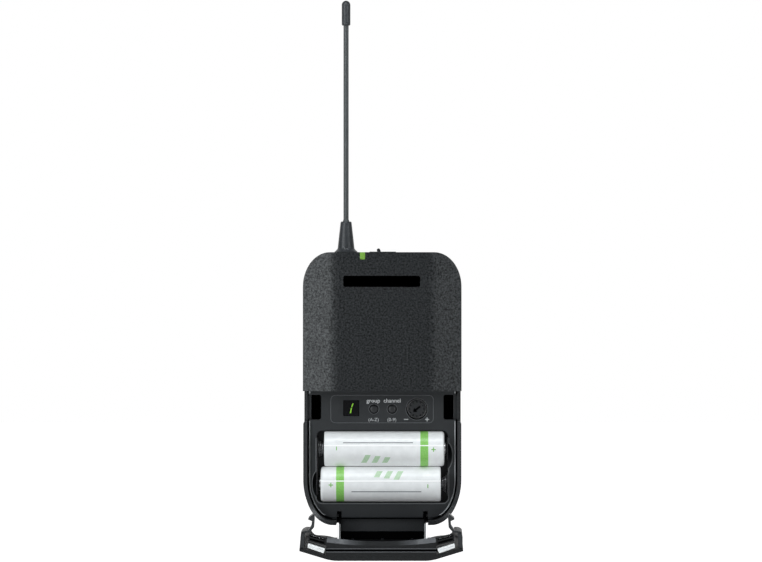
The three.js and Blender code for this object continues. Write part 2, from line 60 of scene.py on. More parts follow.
# ---- places and sizes read from the frame, in millimetres ----
COVER_X, COVER_Y, COVER_Z = extent("front_cover")
HALF_W, HALF_H, COVER_BOTTOM = COVER_X[1], COVER_Z[1], COVER_Z[0]
FRONT, BACK = COVER_Y
CHASSIS_HALF, FACE = extent("chassis")[0][1], extent("chassis")[1][0]
HINGE_Y, HINGE_Z = middle("hinge_pin_left")[1:]
CELL_Y, UPPER_Z = middle("battery_upper")[1:]
LOWER_Z = middle("battery_lower")[2]
CELL_R = round(extent("battery_upper")[2][1] - UPPER_Z, 2)
DISPLAY_X, DISPLAY_Z = middle("display_window")[::2]
GROUP_X, PANEL_Z = middle("group_button")[::2]
CHANNEL_X, DIAL_X = middle("channel_button")[0], middle("gain_dial")[0]
ANTENNA_X, TOP_Y = middle("antenna_boot")[:2]
BOOT_TOP, TIP_Z = extent("antenna_boot")[2][1], extent("antenna_tip")[2][1]
LIGHT_X, SWITCH_X, JACK_X = (middle(name)[0] for name in ("status_light_pipe", "switch_bezel", "jack_shell"))
SCREWS = [middle(f"case_screw_{i}")[::2] for i in (1, 2, 3, 4)]

# ---- driving sizes that no single CAD box gives, in millimetres ----
PARTING, SEAM, WALL, FACE_WALL = -9.5, 0.15, 1.6, 1.5
TOP_CORNER, BOTTOM_CORNER = (11.0, 14.0), (12.0, 18.0)
FLAT_HALF, FACET_START, FACET_SLOPE = 17.0, 22.0, 0.304
DOOR_TOP, RIM_Y = -1.4, -13.0
CORNER = {"start": 18.35, "crest": 19.5, "r": 9.9, "edge_r": 6.1}
ARM, ARM_SLOT, LUG = (16.9, 17.7), (16.5, 18.4), (18.5, 20.4)
STRAP_HALF, END_HALF = 17.0, 21.6
CLIP_Z, CLIP_BAY = 22.0, 29.5
DOOR_OPEN = math.radians(93)
LATCH_Z = (-13.2, -2.0)
BAY_X, BAY_TOP, BAY_BOTTOM, BAY_FLOOR = 26.6, -17.2, -46.5, -2.9
SCOOPS = ((1, -27.4, "right"), (-1, -38.9, "left"))
CELL_HALF, NUB, CELL_X = 24.3, 0.85, {1: 0.9, -1: -0.75}
FAR = (-80, 80)

# ---- the set, in metres ----
FLOOR_Z = -0.16
FRONT_LOW, FRONT_HIGH = 0.06, 0.16

AXES = {
    "x": lambda a, b, t: (t, a, b),
    "y": lambda a, b, t: (a, t, b),
    "z": lambda a, b, t: (a, b, t),
}


# ---- mesh helpers, all in millimetres ----
def as_object(bm, name="piece"):
    bmesh.ops.remove_doubles(bm, verts=bm.verts, dist=1e-4)
    bmesh.ops.recalc_face_normals(bm, faces=bm.faces)
    mesh = bpy.data.meshes.new(name)
    bm.to_mesh(mesh)
    bm.free()
    obj = bpy.data.objects.new(name, mesh)
    bpy.context.scene.collection.objects.link(obj)
    return obj


def prism(points, axis, span):
    """A closed outline pushed along one axis."""
    bm = bmesh.new()
    place = AXES[axis]
    low, high = ([bm.verts.new(place(a, b, t)) for a, b in points] for t in sorted(span))
    bm.faces.new(low)
    bm.faces.new(high)
    for i in range(len(points)):
        j = (i + 1) % len(points)
        bm.faces.new((low[i], low[j], high[j], high[i]))
    return as_object(bm)


def box(x, y, z):
    (x0, x1), (z0, z1) = sorted(x), sorted(z)
    return prism([(x0, z0), (x1, z0), (x1, z1), (x0, z1)], "y", y)


def arc(cx, cy, rx, ry, start, end, count):
    steps = [math.radians(start + (end - start) * i / count) for i in range(count + 1)]
    return [(cx + rx * math.cos(a), cy + ry * math.sin(a)) for a in steps]


def round_rect(x, z, r, count=6):
    (x0, x1), (z0, z1) = sorted(x), sorted(z)
    corners = ((x1 - r, z1 - r, 0), (x0 + r, z1 - r, 90), (x0 + r, z0 + r, 180), (x1 - r, z0 + r, 270))
    return [p for cx, cz, a in corners for p in arc(cx, cz, r, r, a, a + 90, count)]


def disc(cx, cz, r, count=48):
    return arc(cx, cz, r, r, 0, 360 - 360 / count, count - 1)


def lathe(profile, at=(0, 0, 0), axis="z", segments=56):
    """A turned body. Profile pairs are (radius, position along the axis), from axis to axis or a closed ring.

    On the "y" axis the position counts towards the front, as -y.
    """
    bm = bmesh.new()
    rings = []
    for r, h in profile:
        if r < 1e-6:
            rings.append([bm.verts.new((0, 0, h))])
            continue
        angles = [2 * math.pi * i / segments for i in range(segments)]
        rings.append([bm.verts.new((r * math.cos(a), r * math.sin(a), h)) for a in angles])
    closed = profile[0][0] > 1e-6
    pairs = list(zip(rings, rings[1:])) + ([(rings[-1], rings[0])] if closed else [])
    for a, b in pairs:
        for i in range(segments):
            j = (i + 1) % segments
            corners = [a[i % len(a)], a[j % len(a)], b[j % len(b)], b[i % len(b)]]
            face = list(dict.fromkeys(corners))
            if len(face) > 2:
                bm.faces.new(face)
    obj = as_object(bm)
    quarter = math.pi / 2
    turn = {"z": Matrix(), "x": Matrix.Rotation(quarter, 4, "Y"), "y": Matrix.Rotation(quarter, 4, "X")}
    obj.data.transform(Matrix.Translation(at) @ turn[axis])
    return obj


def tube(points, r, sides=10):
    """A round wire along points, with rounded ends."""
    curve = bpy.data.curves.new("wire", "CURVE")
    curve.dimensions, curve.bevel_depth, curve.bevel_resolution = "3D", r, sides // 2
    curve.use_fill_caps, curve.resolution_u = True, 6
    line = curve.splines.new("BEZIER")
    line.bezier_points.add(len(points) - 1)
    for spot, point in zip(line.bezier_points, points):
        spot.co, spot.handle_left_type, spot.handle_right_type = point, "AUTO", "AUTO"
    holder = bpy.data.objects.new("wire", curve)
    bpy.context.scene.collection.objects.link(holder)
    return as_mesh(holder)


def as_mesh(holder):
    """A mesh object in place of a curve or text object."""
    graph = bpy.context.evaluated_depsgraph_get()
    mesh = bpy.data.meshes.new_from_object(holder.evaluated_get(graph))
    obj = bpy.data.objects.new("piece", mesh)
    bpy.context.scene.collection.objects.link(obj)
    bpy.data.objects.remove(holder, do_unlink=True)
    bm = bmesh.new()
    bm.from_mesh(mesh)
    bmesh.ops.remove_doubles(bm, verts=bm.verts, dist=1e-4)
    bmesh.ops.recalc_face_normals(bm, faces=bm.faces)
    bm.to_mesh(mesh)
    bm.free()
    return obj


def settle(obj):
    """Keeps what the modifiers made."""
    graph = bpy.context.evaluated_depsgraph_get()
    mesh = bpy.data.meshes.new_from_object(obj.evaluated_get(graph))
    obj.modifiers.clear()
    obj.data = mesh
    return obj


def combine(obj, how, tools):
    for tool in tools:
        step = obj.modifiers.new("combine", "BOOLEAN")
        step.object, step.operation, step.solver = tool, how, "EXACT"
    settle(obj)
    for tool in tools:
        bpy.data.objects.remove(tool, do_unlink=True)
    return obj


def cut(obj, *tools):
    return combine(obj, "DIFFERENCE", tools)


def join(obj, *tools):
    return combine(obj, "UNION", tools)


def keep(obj, *tools):
    return combine(obj, "INTERSECT", tools)


def soften(obj, width, segments=3, angle=32):
    """Rounds the edges sharper than angle."""
    bm = bmesh.new()
    bm.from_mesh(obj.data)
    bmesh.ops.remove_doubles(bm, verts=bm.verts, dist=2e-3)
    bmesh.ops.dissolve_limit(bm, angle_limit=math.radians(0.6), verts=bm.verts, edges=bm.edges)
    bm.to_mesh(obj.data)
    bm.free()
    step = obj.modifiers.new("soften", "BEVEL")
    step.width, step.segments, step.limit_method = width, segments, "ANGLE"
    step.angle_limit, step.use_clamp_overlap = math.radians(angle), True
    return settle(obj)


def both_sides(build):
    return [build(-1), build(1)]


# ---- materials ----
def node(tree, kind, **values):
    made = tree.nodes.new(kind)
    for key, value in values.items():
        if key in made.inputs:
            made.inputs[key].default_value = value
        else:
            setattr(made, key, value)
    return made


def noise(tree, size_mm, detail=3.0, rough=0.55):
    where = node(tree, "ShaderNodeTexCoord")
    made = node(tree, "ShaderNodeTexNoise", Scale=1000.0 / size_mm, Detail=detail, Roughness=rough)
    tree.links.new(where.outputs["Object"], made.inputs["Vector"])
    return made.outputs["Fac"]


def ramp(tree, source, stops):
    made = tree.nodes.new("ShaderNodeValToRGB")
    line = made.color_ramp
    while len(line.elements) < len(stops):
        line.elements.new(0.5)
    for element, (place, colour) in zip(line.elements, stops):
        element.position, element.color = place, (*colour, 1)
    tree.links.new(source, made.inputs["Fac"])
    return made.outputs["Color"]


def spread(tree, source, low, high):
    return remap(tree, source, 0.3, 0.7, low, high)


def remap(tree, source, from_low, from_high, to_low, to_high):
    made = node(tree, "ShaderNodeMapRange")
    limits = {"From Min": from_low, "From Max": from_high, "To Min": to_low, "To Max": to_high}
    for key, value in limits.items():
        made.inputs[key].default_value = value
    tree.links.new(source, made.inputs["Value"])
    return made.outputs["Result"]


def bump(tree, source, depth_mm, strength=1.0, normal=None):
    made = node(tree, "ShaderNodeBump", Strength=strength, Distance=depth_mm * MM)
    tree.links.new(source, made.inputs["Height"])
    if normal:
        tree.links.new(normal, made.inputs["Normal"])
    return made.outputs["Normal"]


def blank(name, **sockets):
    made = bpy.data.materials.new(name)
    made.use_nodes = True
    shader = made.node_tree.nodes["Principled BSDF"]
    for key, value in sockets.items():
        shader.inputs[key.replace("_", " ")].default_value = value
    return made, made.node_tree, shader


def tint(colour, factor):
    return tuple(c * factor for c in colour)


def finish(name, colour, rough, grain_mm, depth_mm, vary=0.25, metal=0.0, specular=0.5, wear=0.06,
           glint=0.0):
    """A moulded or metal surface: fine grain in its relief, colour and gloss, with slow patches over it."""
    made, tree, shader = blank(name, Metallic=metal, Specular_IOR_Level=specular)
    grain = noise(tree, grain_mm, 4.0, 0.65)
    slow = noise(tree, 9.0, 3.0)
    mottled = ramp(tree, grain, [(0.35, tint(colour, 1 - vary)), (0.65, tint(colour, 1 + vary))])
    tree.links.new(mottled, shader.inputs["Base Color"])
    tree.links.new(spread(tree, slow, rough - wear, rough + wear), shader.inputs["Roughness"])
    tree.links.new(bump(tree, grain, depth_mm), shader.inputs["Normal"])
    if glint:
        speckle = spread(tree, grain, specular * (1 - glint), specular * (1 + glint))
        tree.links.new(speckle, shader.inputs["Specular IOR Level"])
    return made


def brushed(name, colour, rough, size_mm=(0.08, 0.08, 2.0)):
    """Drawn or rolled metal: fine streaks along one axis."""
    made, tree, shader = blank(name, Metallic=1.0)
    where = node(tree, "ShaderNodeTexCoord")
    stretch = node(tree, "ShaderNodeMapping")
    stretch.inputs["Scale"].default_value = [1000 / s for s in size_mm]
    streaks = node(tree, "ShaderNodeTexNoise", Scale=1.0, Detail=4.0)
    tree.links.new(where.outputs["Object"], stretch.inputs["Vector"])
    tree.links.new(stretch.outputs["Vector"], streaks.inputs["Vector"])
    shade = ramp(tree, streaks.outputs["Fac"], [(0.3, tint(colour, 0.82)), (0.7, colour)])
    tree.links.new(shade, shader.inputs["Base Color"])
    gloss = spread(tree, streaks.outputs["Fac"], rough - 0.06, rough + 0.1)
    tree.links.new(gloss, shader.inputs["Roughness"])
    tree.links.new(bump(tree, streaks.outputs["Fac"], 0.01, 0.5), shader.inputs["Normal"])
    return made


def glowing(name, colour, strength, rough=0.25):
    """A translucent lit plastic with a slightly uneven glow."""
    made, tree, shader = blank(name, Roughness=rough, Emission_Strength=strength)
    cloud = noise(tree, 0.9, 2.0)
    lit = ramp(tree, cloud, [(0.25, tint(colour, 0.72)), (0.75, colour)])
    tree.links.new(lit, shader.inputs["Base Color"])
    tree.links.new(lit, shader.inputs["Emission Color"])
    return made


def maths(tree, how, a, b=0.0):
    made = node(tree, "ShaderNodeMath", operation=how)
    for socket, value in zip(made.inputs, (a, b)):
        if isinstance(value, (int, float)):
            socket.default_value = value
        else:
            tree.links.new(value, socket)
    return made.outputs[0]


def between(tree, value, low, high):
    """1 where value lies between low and high, in metres, else 0."""
    above = maths(tree, "GREATER_THAN", value, low * MM)
    below = maths(tree, "LESS_THAN", value, high * MM)
    return maths(tree, "MULTIPLY", above, below)


def paint(tree, base, mask, colour):
    made = tree.nodes.new("ShaderNodeMix")
    made.data_type = "RGBA"
    made.inputs["B"].default_value = (*colour, 1)
    for socket, source in ((made.inputs["Factor"], mask), (made.inputs["A"], base)):
        tree.links.new(source, socket)
    return made.outputs["Result"]


# painted light: the cell sleeves glow faintly, a fill that lifts their shaded undersides
SLEEVE_FILL_GLOW = 0.13


def cell_sleeve(name, z, side):
    """The printed sleeve of a cell: off-white film with a green band, and the film's seam across both. The
    film also glows faintly, a painted fill light for its shaded underside.
    """
    made, tree, shader = blank(name, Roughness=0.32, Specular_IOR_Level=0.45, Coat_Weight=0.25,
                               Coat_Roughness=0.2, Emission_Strength=SLEEVE_FILL_GLOW)
    where = node(tree, "ShaderNodeTexCoord")
    split = node(tree, "ShaderNodeSeparateXYZ")
    tree.links.new(where.outputs["Object"], split.inputs[0])
    along, up = maths(tree, "MULTIPLY", split.outputs["X"], float(side)), split.outputs["Z"]
    film = ramp(tree, noise(tree, 3.0, 2.0), [(0.3, (0.74, 0.75, 0.755)), (0.7, (0.80, 0.81, 0.815))])
    green = ramp(tree, noise(tree, 0.5, 2.0), [(0.3, (0.20, 0.50, 0.10)), (0.7, (0.27, 0.58, 0.14))])
    band = between(tree, along, 15.4, 18.6)
    mixed = tree.nodes.new("ShaderNodeMix")
    mixed.data_type = "RGBA"
    for key, source in (("Factor", band), ("A", film), ("B", green)):
        tree.links.new(source, mixed.inputs[key])
    seam = between(tree, up, z + 1.4, z + 1.8)
    shaded = paint(tree, mixed.outputs["Result"], seam, (0.98, 0.98, 0.98))
    tree.links.new(shaded, shader.inputs["Base Color"])
    tree.links.new(shaded, shader.inputs["Emission Color"])
    tree.links.new(bump(tree, seam, 0.03, 0.6), shader.inputs["Normal"])
    return made


def painted_sheen_ramp(name, dull, bright, rough, near_mm, far_mm):
    """Plastic that turns paler away from the middle: a painted sheen, standing in for light caught towards
    the ends.
    """
    made, tree, shader = blank(name, Roughness=rough)
    split = node(tree, "ShaderNodeSeparateXYZ")
    tree.links.new(node(tree, "ShaderNodeTexCoord").outputs["Object"], split.inputs[0])
    out = maths(tree, "ABSOLUTE", split.outputs["X"])
    grain = noise(tree, GRAIN, 4.0, 0.65)
    where = remap(tree, out, near_mm * MM, far_mm * MM, 0.0, 1.0)
    speckled = maths(tree, "MULTIPLY", where, spread(tree, grain, 0.7, 1.2))
    tree.links.new(ramp(tree, speckled, [(0.0, dull), (1.0, bright)]), shader.inputs["Base Color"])
    tree.links.new(bump(tree, grain, 0.03), shader.inputs["Normal"])
    return made


GRAIN = 0.75
case_black = finish("case_plastic", (0.0050, 0.0064, 0.0078), 0.44, GRAIN, 0.07, 0.8, specular=0.5, wear=0.02,
                    glint=0.75)
# the back shell is a paler copy of the case plastic: the extra paleness is a painted highlight for its rim
shell_paler_black = finish("shell_plastic_painted_highlight", (0.026, 0.027, 0.029), 0.40, GRAIN, 0.05, 0.3, specular=0.5, wear=0.02)
door_black = finish("door_plastic", (0.0045, 0.0052, 0.006), 0.42, GRAIN, 0.06, 0.5, specular=0.4, wear=0.02)
# painted sheen: the door's leaning face turns paler towards its ends
door_face_sheen = painted_sheen_ramp("door_face_painted_sheen", (0.010, 0.011, 0.012), (0.12, 0.125, 0.135), 0.4, 6.0, 19.0)
inner_black = finish("chassis_plastic", (0.021, 0.023, 0.0255), 0.42, 0.3, 0.03, 0.2, specular=0.5)
key_black = finish("key_plastic", (0.020, 0.021, 0.023), 0.42, 0.25, 0.02, 0.15)
# deep black: the jack's insulator, the dial's marks and inner parts, and also sheets of painted shade in gaps
# and recesses
deep_black = finish("deep_plastic", (0.0008, 0.0008, 0.001), 0.8, 0.3, 0.02, 0.2, specular=0.02)
badge_black = finish("gloss_black", (0.004, 0.004, 0.005), 0.16, 0.5, 0.002, 0.1, specular=0.5)
boot_rubber = finish("boot_rubber", (0.027, 0.030, 0.034), 0.42, 0.18, 0.03, 0.3, specular=0.45)
wire_coat = finish("antenna_coating", (0.050, 0.055, 0.057), 0.36, 0.25, 0.01, 0.2)
window_smoke = finish("window_smoke", (0.006, 0.006, 0.007), 0.08, 0.8, 0.001, 0.1)
print_white = finish("print_white", (0.86, 0.87, 0.88), 0.5, 0.1, 0.003, 0.1)
print_grey = finish("print_grey", (0.24, 0.25, 0.26), 0.5, 0.1, 0.003, 0.1)
print_mid = finish("print_mid_grey", (0.50, 0.51, 0.52), 0.5, 0.1, 0.003, 0.1)
print_green = finish("print_green", (0.20, 0.50, 0.10), 0.4, 0.3, 0.003, 0.1)
print_pale = finish("print_pale_green", (0.50, 0.68, 0.47), 0.4, 0.4, 0.003, 0.12)
nylon_white = finish("nylon_white", (0.93, 0.94, 0.94), 0.4, 0.6, 0.003, 0.05)
# painted highlight: a pale grey for thin edges that catch the light: the panel's raised outline, the rims
# round the keys and dial, and the lips of the door's groove
pale_highlight_grey = finish("pale_highlight_grey", (0.10, 0.104, 0.11), 0.38, 0.3, 0.004, 0.1)
# painted highlight: a pale grey for the bay's lip and the scoops' edges
lip_highlight_grey = finish("lip_highlight_grey", (0.13, 0.135, 0.14), 0.35, 0.3, 0.004, 0.1)
# painted light: a paler grey for a patch of the door's hinge wall, standing in for light falling there
lit_patch_grey = finish("lit_patch_grey", (0.035, 0.037, 0.04), 0.4, 0.4, 0.01, 0.2)
# painted highlight: a pale grey bead standing in for light on the chassis edge
edge_highlight_grey = finish("edge_highlight_grey", (0.38, 0.39, 0.40), 0.35, 0.4, 0.01, 0.2)
# painted highlight: a pale grey for the lit edges of the door's hinge arms
arm_highlight_grey = finish("arm_highlight_grey", (0.55, 0.56, 0.57), 0.35, 0.4, 0.01, 0.2)
zinc = brushed("zinc_steel", (0.62, 0.63, 0.65), 0.26)
nickel = brushed("nickel_steel", (0.66, 0.66, 0.67), 0.22, (2.0, 0.1, 0.1))
# painted shade: a darkened copy of nickel for the coils, which sit in shade at the cell ends
coil_shaded_nickel = brushed("coil_shaded_nickel", (0.30, 0.30, 0.31), 0.25, (2.0, 0.1, 0.1))
# painted shade: a much darker copy of nickel for the contact strips and hinge pins, which sit in shade
deep_shaded_nickel = brushed("deep_shaded_nickel", (0.10, 0.10, 0.105), 0.3, (2.0, 0.1, 0.1))
gold = brushed("gold_contact", (0.80, 0.58, 0.26), 0.24)
tin = finish("tinned_can", (0.55, 0.56, 0.57), 0.35, 0.6, 0.01, 0.06, metal=1.0)
board = finish("solder_mask", (0.015, 0.10, 0.04), 0.4, 0.5, 0.01, 0.2)
plate_silver = finish("label_stock", (0.42, 0.43, 0.44), 0.35, 0.25, 0.004, 0.06, metal=0.4)
lamp_green = glowing("light_pipe_green", (0.17, 0.34, 0.055), 0.3)
digit_green = glowing("digit_green", (0.22, 0.50, 0.04), 0.5)

# ---- placing a piece ----
OPEN_DOOR = (
    Matrix.Translation((0, HINGE_Y, HINGE_Z))
    @ Matrix.Rotation(DOOR_OPEN, 4, "X")
    @ Matrix.Translation((0, -HINGE_Y, -HINGE_Z))
)


def place(obj, name, look, body, slot, nodes=(), bevel=0.12, segments=2, angle=32, turn=None):
    """Rounds, scales, shades and names a piece, gives it its material and hangs it on its body."""
    if bevel:
        soften(obj, bevel, segments, angle)
    if turn:
        obj.data.transform(turn)
    obj.data.transform(Matrix.Scale(MM, 4))
    obj.name = obj.data.name = name
    obj.data.shade_smooth()
    obj.data.set_sharp_from_angle(angle=math.radians(42))
    normals = obj.modifiers.new("normals", "WEIGHTED_NORMAL")
    normals.keep_sharp, normals.weight = True, 80
    obj.data.materials.clear()
    obj.data.materials.append(look)
    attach(obj, body)
    if nodes:
        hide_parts(*nodes)
    return obj


def on_door(obj, name, look, bevel=0.12, slot="case_black"):
    """A piece drawn with the door shut, then swung open with it."""
    return place(obj, name, look, "door", slot, bevel=bevel, turn=OPEN_DOOR)


# ---- the case ----
def outline(inset, count=22):
    w, h = HALF_W - inset, HALF_H - inset
    (tx, tz), (bx, bz) = ([v - inset for v in c] for c in (TOP_CORNER, BOTTOM_CORNER))
    return (
        arc(w - tx, h - tz, tx, tz, 0, 90, count)
        + arc(-w + tx, h - tz, tx, tz, 90, 180, count)
        + arc(-w + bx, -h + bz, bx, bz, 180, 270, count)
        + arc(w - bx, -h + bz, bx, bz, 270, 360, count)
    )


def bend(start, corner, end, count):
    """A smooth corner between two lines."""
    steps = [i / count for i in range(count + 1)]
    spots = list(zip(start, corner, end))
    return [tuple(a * (1 - t) ** 2 + 2 * b * t * (1 - t) + c * t * t for a, b, c in spots) for t in steps]


def facet_y(x, front):
    return front + (x - (FLAT_HALF + FACET_START) / 2) * FACET_SLOPE


def section(inset):
    w, front, back = HALF_W - inset, FRONT + inset, BACK - inset
    crest = (FLAT_HALF + FACET_START) / 2
    right = bend((FLAT_HALF, front), (crest, front), (FACET_START, facet_y(FACET_START, front)), 8)
    right.append((w, facet_y(w, front)))
    right += bend((w, back - 3), (w, back), (w - 3, back), 8)
    return right + [(-x, y) for x, y in reversed(right)]


def case_form(inset, edge=0.0):
    form = keep(prism(outline(inset), "y", (-30, 6)), prism(section(inset), "z", (-60, 60)))
    return soften(form, edge, 5, 40) if edge else form


def front_cover():
    region = join(
        box(FAR, (-30, PARTING - SEAM), (COVER_BOTTOM, 60)),
        box(FAR, (-30, 5), (HALF_H - WALL, 60)),
    )
    body = keep(case_form(0, 1.0), region)
    hollow = keep(case_form(WALL), box(FAR, (-40, 10), (COVER_BOTTOM + WALL, 60)))
    pipe_slot = prism(pipe_outline(0.1), "y", (-30, FRONT + 7.1))
    body = cut(
        body, hollow, pipe_slot,
        box((-29.2, 29.2), (FACE - 0.3, 6), (-5, COVER_BOTTOM + 3)),
        prism(disc(ANTENNA_X, TOP_Y, 2.9), "z", (50, 60)),
        prism(disc(JACK_X, TOP_Y, 5.35, 64), "z", (50, 60)),
        box((SWITCH_X - 5.5, SWITCH_X + 5.5), (TOP_Y - 2.8, TOP_Y + 2.8), (50, 60)),
    )
    return place(body, "front_cover_skin", case_black, "case", "case_black", ["front_cover"], 0.16, 2, 40)


def pipe_outline(gap):
    half, low, r = 1.0 + gap, HALF_H - 2.9 - gap, 0.5
    left = arc(LIGHT_X - half + r, low + r, r, r, 180, 270, 6)
    right = arc(LIGHT_X + half - r, low + r, r, r, 270, 360, 6)
    return left + right + [(LIGHT_X + half, 60), (LIGHT_X - half, 60)]


def corner_sweep(side, gap=0.0):
    """The room the door's corner sweeps round as it swings: it narrows with the slope of the facet."""
    start, crest = CORNER["start"], CORNER["crest"]
    r, edge_r = CORNER["r"] + gap, CORNER["edge_r"] + gap
    profile = [(0, start), (r, start), (r, crest), (edge_r, HALF_W + 1), (0, HALF_W + 1)]
    return lathe([(a, side * x) for a, x in profile], (0, HINGE_Y, HINGE_Z), "x", 96)


def clip_boss(side):
    return box((side * (CLIP_BAY - 3), side * 31), (-8.4, BACK - 0.5), (CLIP_Z - 6, CLIP_Z + 3.5))


def clip_bay(side):
    return prism(round_rect((side * CLIP_BAY, side * 40), (CLIP_Z - 4.5, CLIP_Z + 2), 0.8), "y", (-6.6, 5))


def grip(side):
    """The hollow in the side wall that lets the fingers reach a latch."""
    points = ((31.1, COVER_BOTTOM), (40, COVER_BOTTOM), (40, -16), (32, -14.4), (31.1, -12.4))
    return prism([(side * x, z) for x, z in points], "y", (-15, -2.2))


def back_shell():
    lid = HALF_H - WALL - 2 * SEAM
    region = join(
        box(FAR, (PARTING + SEAM, 10), (-60, lid)),
        box(FAR, (RIM_Y, 0), (-60, LATCH_Z[0] - 0.2)),
        *both_sides(corner_sweep),
    )
    body = keep(case_form(0, 1.0), region)
    land = soften(prism(round_rect((-18, 18), (-12, 12), 2.5), "y", (BACK - 0.5, 0)), 0.12, 2)
    body = soften(cut(body, case_form(WALL)), 0.5, 4, 60)
    body = join(body, land, *both_sides(clip_boss))
    # The left pair of screws first, then the right, each from the top.
    holes = sorted(SCREWS, key=lambda spot: (spot[0], -spot[1]))
    body = cut(
        body, *both_sides(grip), *both_sides(grip_grooves), *both_sides(clip_bay),
        box((-LUG[0], LUG[0]), (-20, -5.2), (-60, -52.6)),
        prism(round_rect((-17.1, 17.1), (15.9, 36.1), 1.2), "y", (BACK - 0.4, 5)),
        *both_sides(lambda s: rod_x(s, CLIP_BAY - 2.2, 34, 1.1, -4.7, CLIP_Z)),
        *[prism(disc(x, z, 2.3), "y", (-1.7, 5)) for x, z in holes],
    )
    return place(body, "back_shell_skin", shell_paler_black, "case", "case_black", ["back_shell"], 0.16, 2, 40)


def rod_x(side, start, end, r, y, z, segments=32):
    """A round bar along X, given by how far out it starts and ends."""
    low, high = sorted((side * start, side * end))
    return lathe([(0, low), (r, low), (r, high), (0, high)], (0, y, z), "x", segments)


def grip_grooves(side):
    """Shallow grooves that give the fingers a hold beside the latches."""
    tools = [box((side * 30.75, side * 40), (y, y + 0.5), (-11.6, -2.2)) for y in (-8.2, -6.8, -5.4, -4.0)]
    return join(tools[0], *tools[1:])


def arm_slot(side):
    return box((side * ARM_SLOT[0], side * ARM_SLOT[1]), (-12, -8), (-60, -49.9))


def latch_slot(side):
    return prism(round_rect((side * 24.8, side * 34), (-12.8, -2.7), 0.9), "y", (-12, -8))


def around_display(half, r):
    return round_rect((DISPLAY_X - half, DISPLAY_X + half), (DISPLAY_Z - half, DISPLAY_Z + half), r)


def scoops():
    return [scoop(side * (BAY_X - 0.6), z) for side, z, _ in SCOOPS]


def chassis():
    edge = prism(outline(HALF_W - CHASSIS_HALF), "y", (FACE, FACE + FACE_WALL))
    plate = keep(soften(edge, 0.55, 4, 40), box(FAR, FAR, (-52.65, 3.2)))
    tub = keep(
        prism(round_rect((-BAY_X - 1.2, BAY_X + 1.2), (BAY_BOTTOM - 1.2, BAY_TOP + 1.2), 4), "y",
              (FACE + 0.5, BAY_FLOOR + 1)),
        case_form(WALL + 0.3))
    lugs = both_sides(lambda s: box((s * LUG[0], s * LUG[1]), (FACE + 0.2, -7.6), (-53, -50)))
    body = join(plate, tub, *lugs)
    bay = prism(round_rect((-BAY_X, BAY_X), (BAY_BOTTOM, BAY_TOP), 2.2), "y", (FACE - 1, BAY_FLOOR))
    window = around_display(3.25, 0.15)
    body = soften(cut(body, bay, *scoops()), 0.35, 3, 50)
    body = cut(
        body, *both_sides(arm_slot), *both_sides(latch_slot),
        *both_sides(lambda s: rod_x(s, 15, 23, 0.68, HINGE_Y, HINGE_Z)),
        prism(window, "y", (-12, -8)),
        *[prism(disc(x, PANEL_Z, r, 64), "y", (-12, -8))
          for x, r in ((GROUP_X, 1.9), (CHANNEL_X, 1.9), (DIAL_X, 4.3))],
    )
    place(body, "chassis_moulding", inner_black, "case", "chassis_black", ["chassis"], 0.12, 2, 50)
    chassis_trim()


def chassis_trim():
    """A painted highlight along the chassis edge, painted highlights on the lip round the bay and on the
    scoops' edges, black floors in the latch slots as painted shade, and the slots' catches.
    """
    inset, wide = HALF_W - CHASSIS_HALF, 0.5
    # painted highlight: a pale bead along the chassis edge
    bead = cut(prism(outline(inset), "y", (FACE - 0.05, FACE + 0.4)),
               prism(outline(inset + wide), "y", (FACE - 1, FACE + 1)))
    shown = join(box(FAR, (-14, -8), (-51.5, LATCH_Z[0] - 0.2)), box(FAR, (-14, -8), (-2.2, -1.2)))
    bead = keep(bead, shown)
    place(bead, "chassis_edge_highlight", edge_highlight_grey, "case", "chassis_black", bevel=0.12)
    # painted highlight: a pale frame on the bay's edge
    lip = frame_line((-BAY_X - 0.5, BAY_X + 0.5), (BAY_BOTTOM - 0.5, BAY_TOP + 0.5), 2.6, 0.4,
                     (FACE - 0.04, FACE + 0.3))
    lip = keep(lip, box(FAR, (-14, -8), (-60, BAY_TOP - 3)))
    lip = cut(lip, *scoops())
    place(lip, "bay_lip_highlight", lip_highlight_grey, "case", "chassis_black", bevel=0.1)
    # painted highlight: a pale bead on each scoop's outer edge
    for side, z, name in SCOOPS:
        steps = [math.radians(-75 + 10 * i) for i in range(16)]
        points = [(side * (BAY_X - 0.6 + 2.45 * math.cos(a)), FACE + 0.1, z + 5.5 * math.sin(a))
                  for a in steps]
        place(tube(points, 0.22, 8), f"thumb_scoop_highlight_{name}", lip_highlight_grey, "case", "chassis_black", bevel=0)
    for side, name in SIDES:
        # painted shade: black sheets at the back of the latch slots
        floor = box((side * 24.9, side * 30.2), (-2.65, -2.3), (-12.8, -2.7))
        place(floor, f"latch_slot_shade_{name}", deep_black, "case", "chassis_black", bevel=0)
        catch = box((side * 28.85, side * 30.45), (-8.2, -3.0), (-12.8, -2.7))
        place(catch, f"latch_catch_{name}", inner_black, "case", "chassis_black", bevel=0.15)


def scoop(x, z):
    """A thumb scoop beside a cell's raised end."""
    profile = [(math.cos(a), math.sin(a)) for a in (math.radians(-90 + 15 * i) for i in range(13))]
    profile[0], profile[-1] = (0, -1), (0, 1)
    ball = lathe(profile, segments=40)
    ball.data.transform(Matrix.Translation((x, FACE, z)) @ Matrix.Diagonal((2.3, 2.6, 5.4, 1)))
    return ball


# ---- battery door ----
def loft(sections):
    """Closed sections with equal point counts, skinned in order and capped."""
    bm = bmesh.new()
    rings = [[bm.verts.new(p) for p in ring] for ring in sections]
    for a, b in zip(rings, rings[1:]):
        for i in range(len(a)):
            j = (i + 1) % len(a)
            bm.faces.new((a[i], a[j], b[j], b[i]))
    bm.faces.new(rings[0])
    bm.faces.new(rings[-1])
    return as_object(bm)


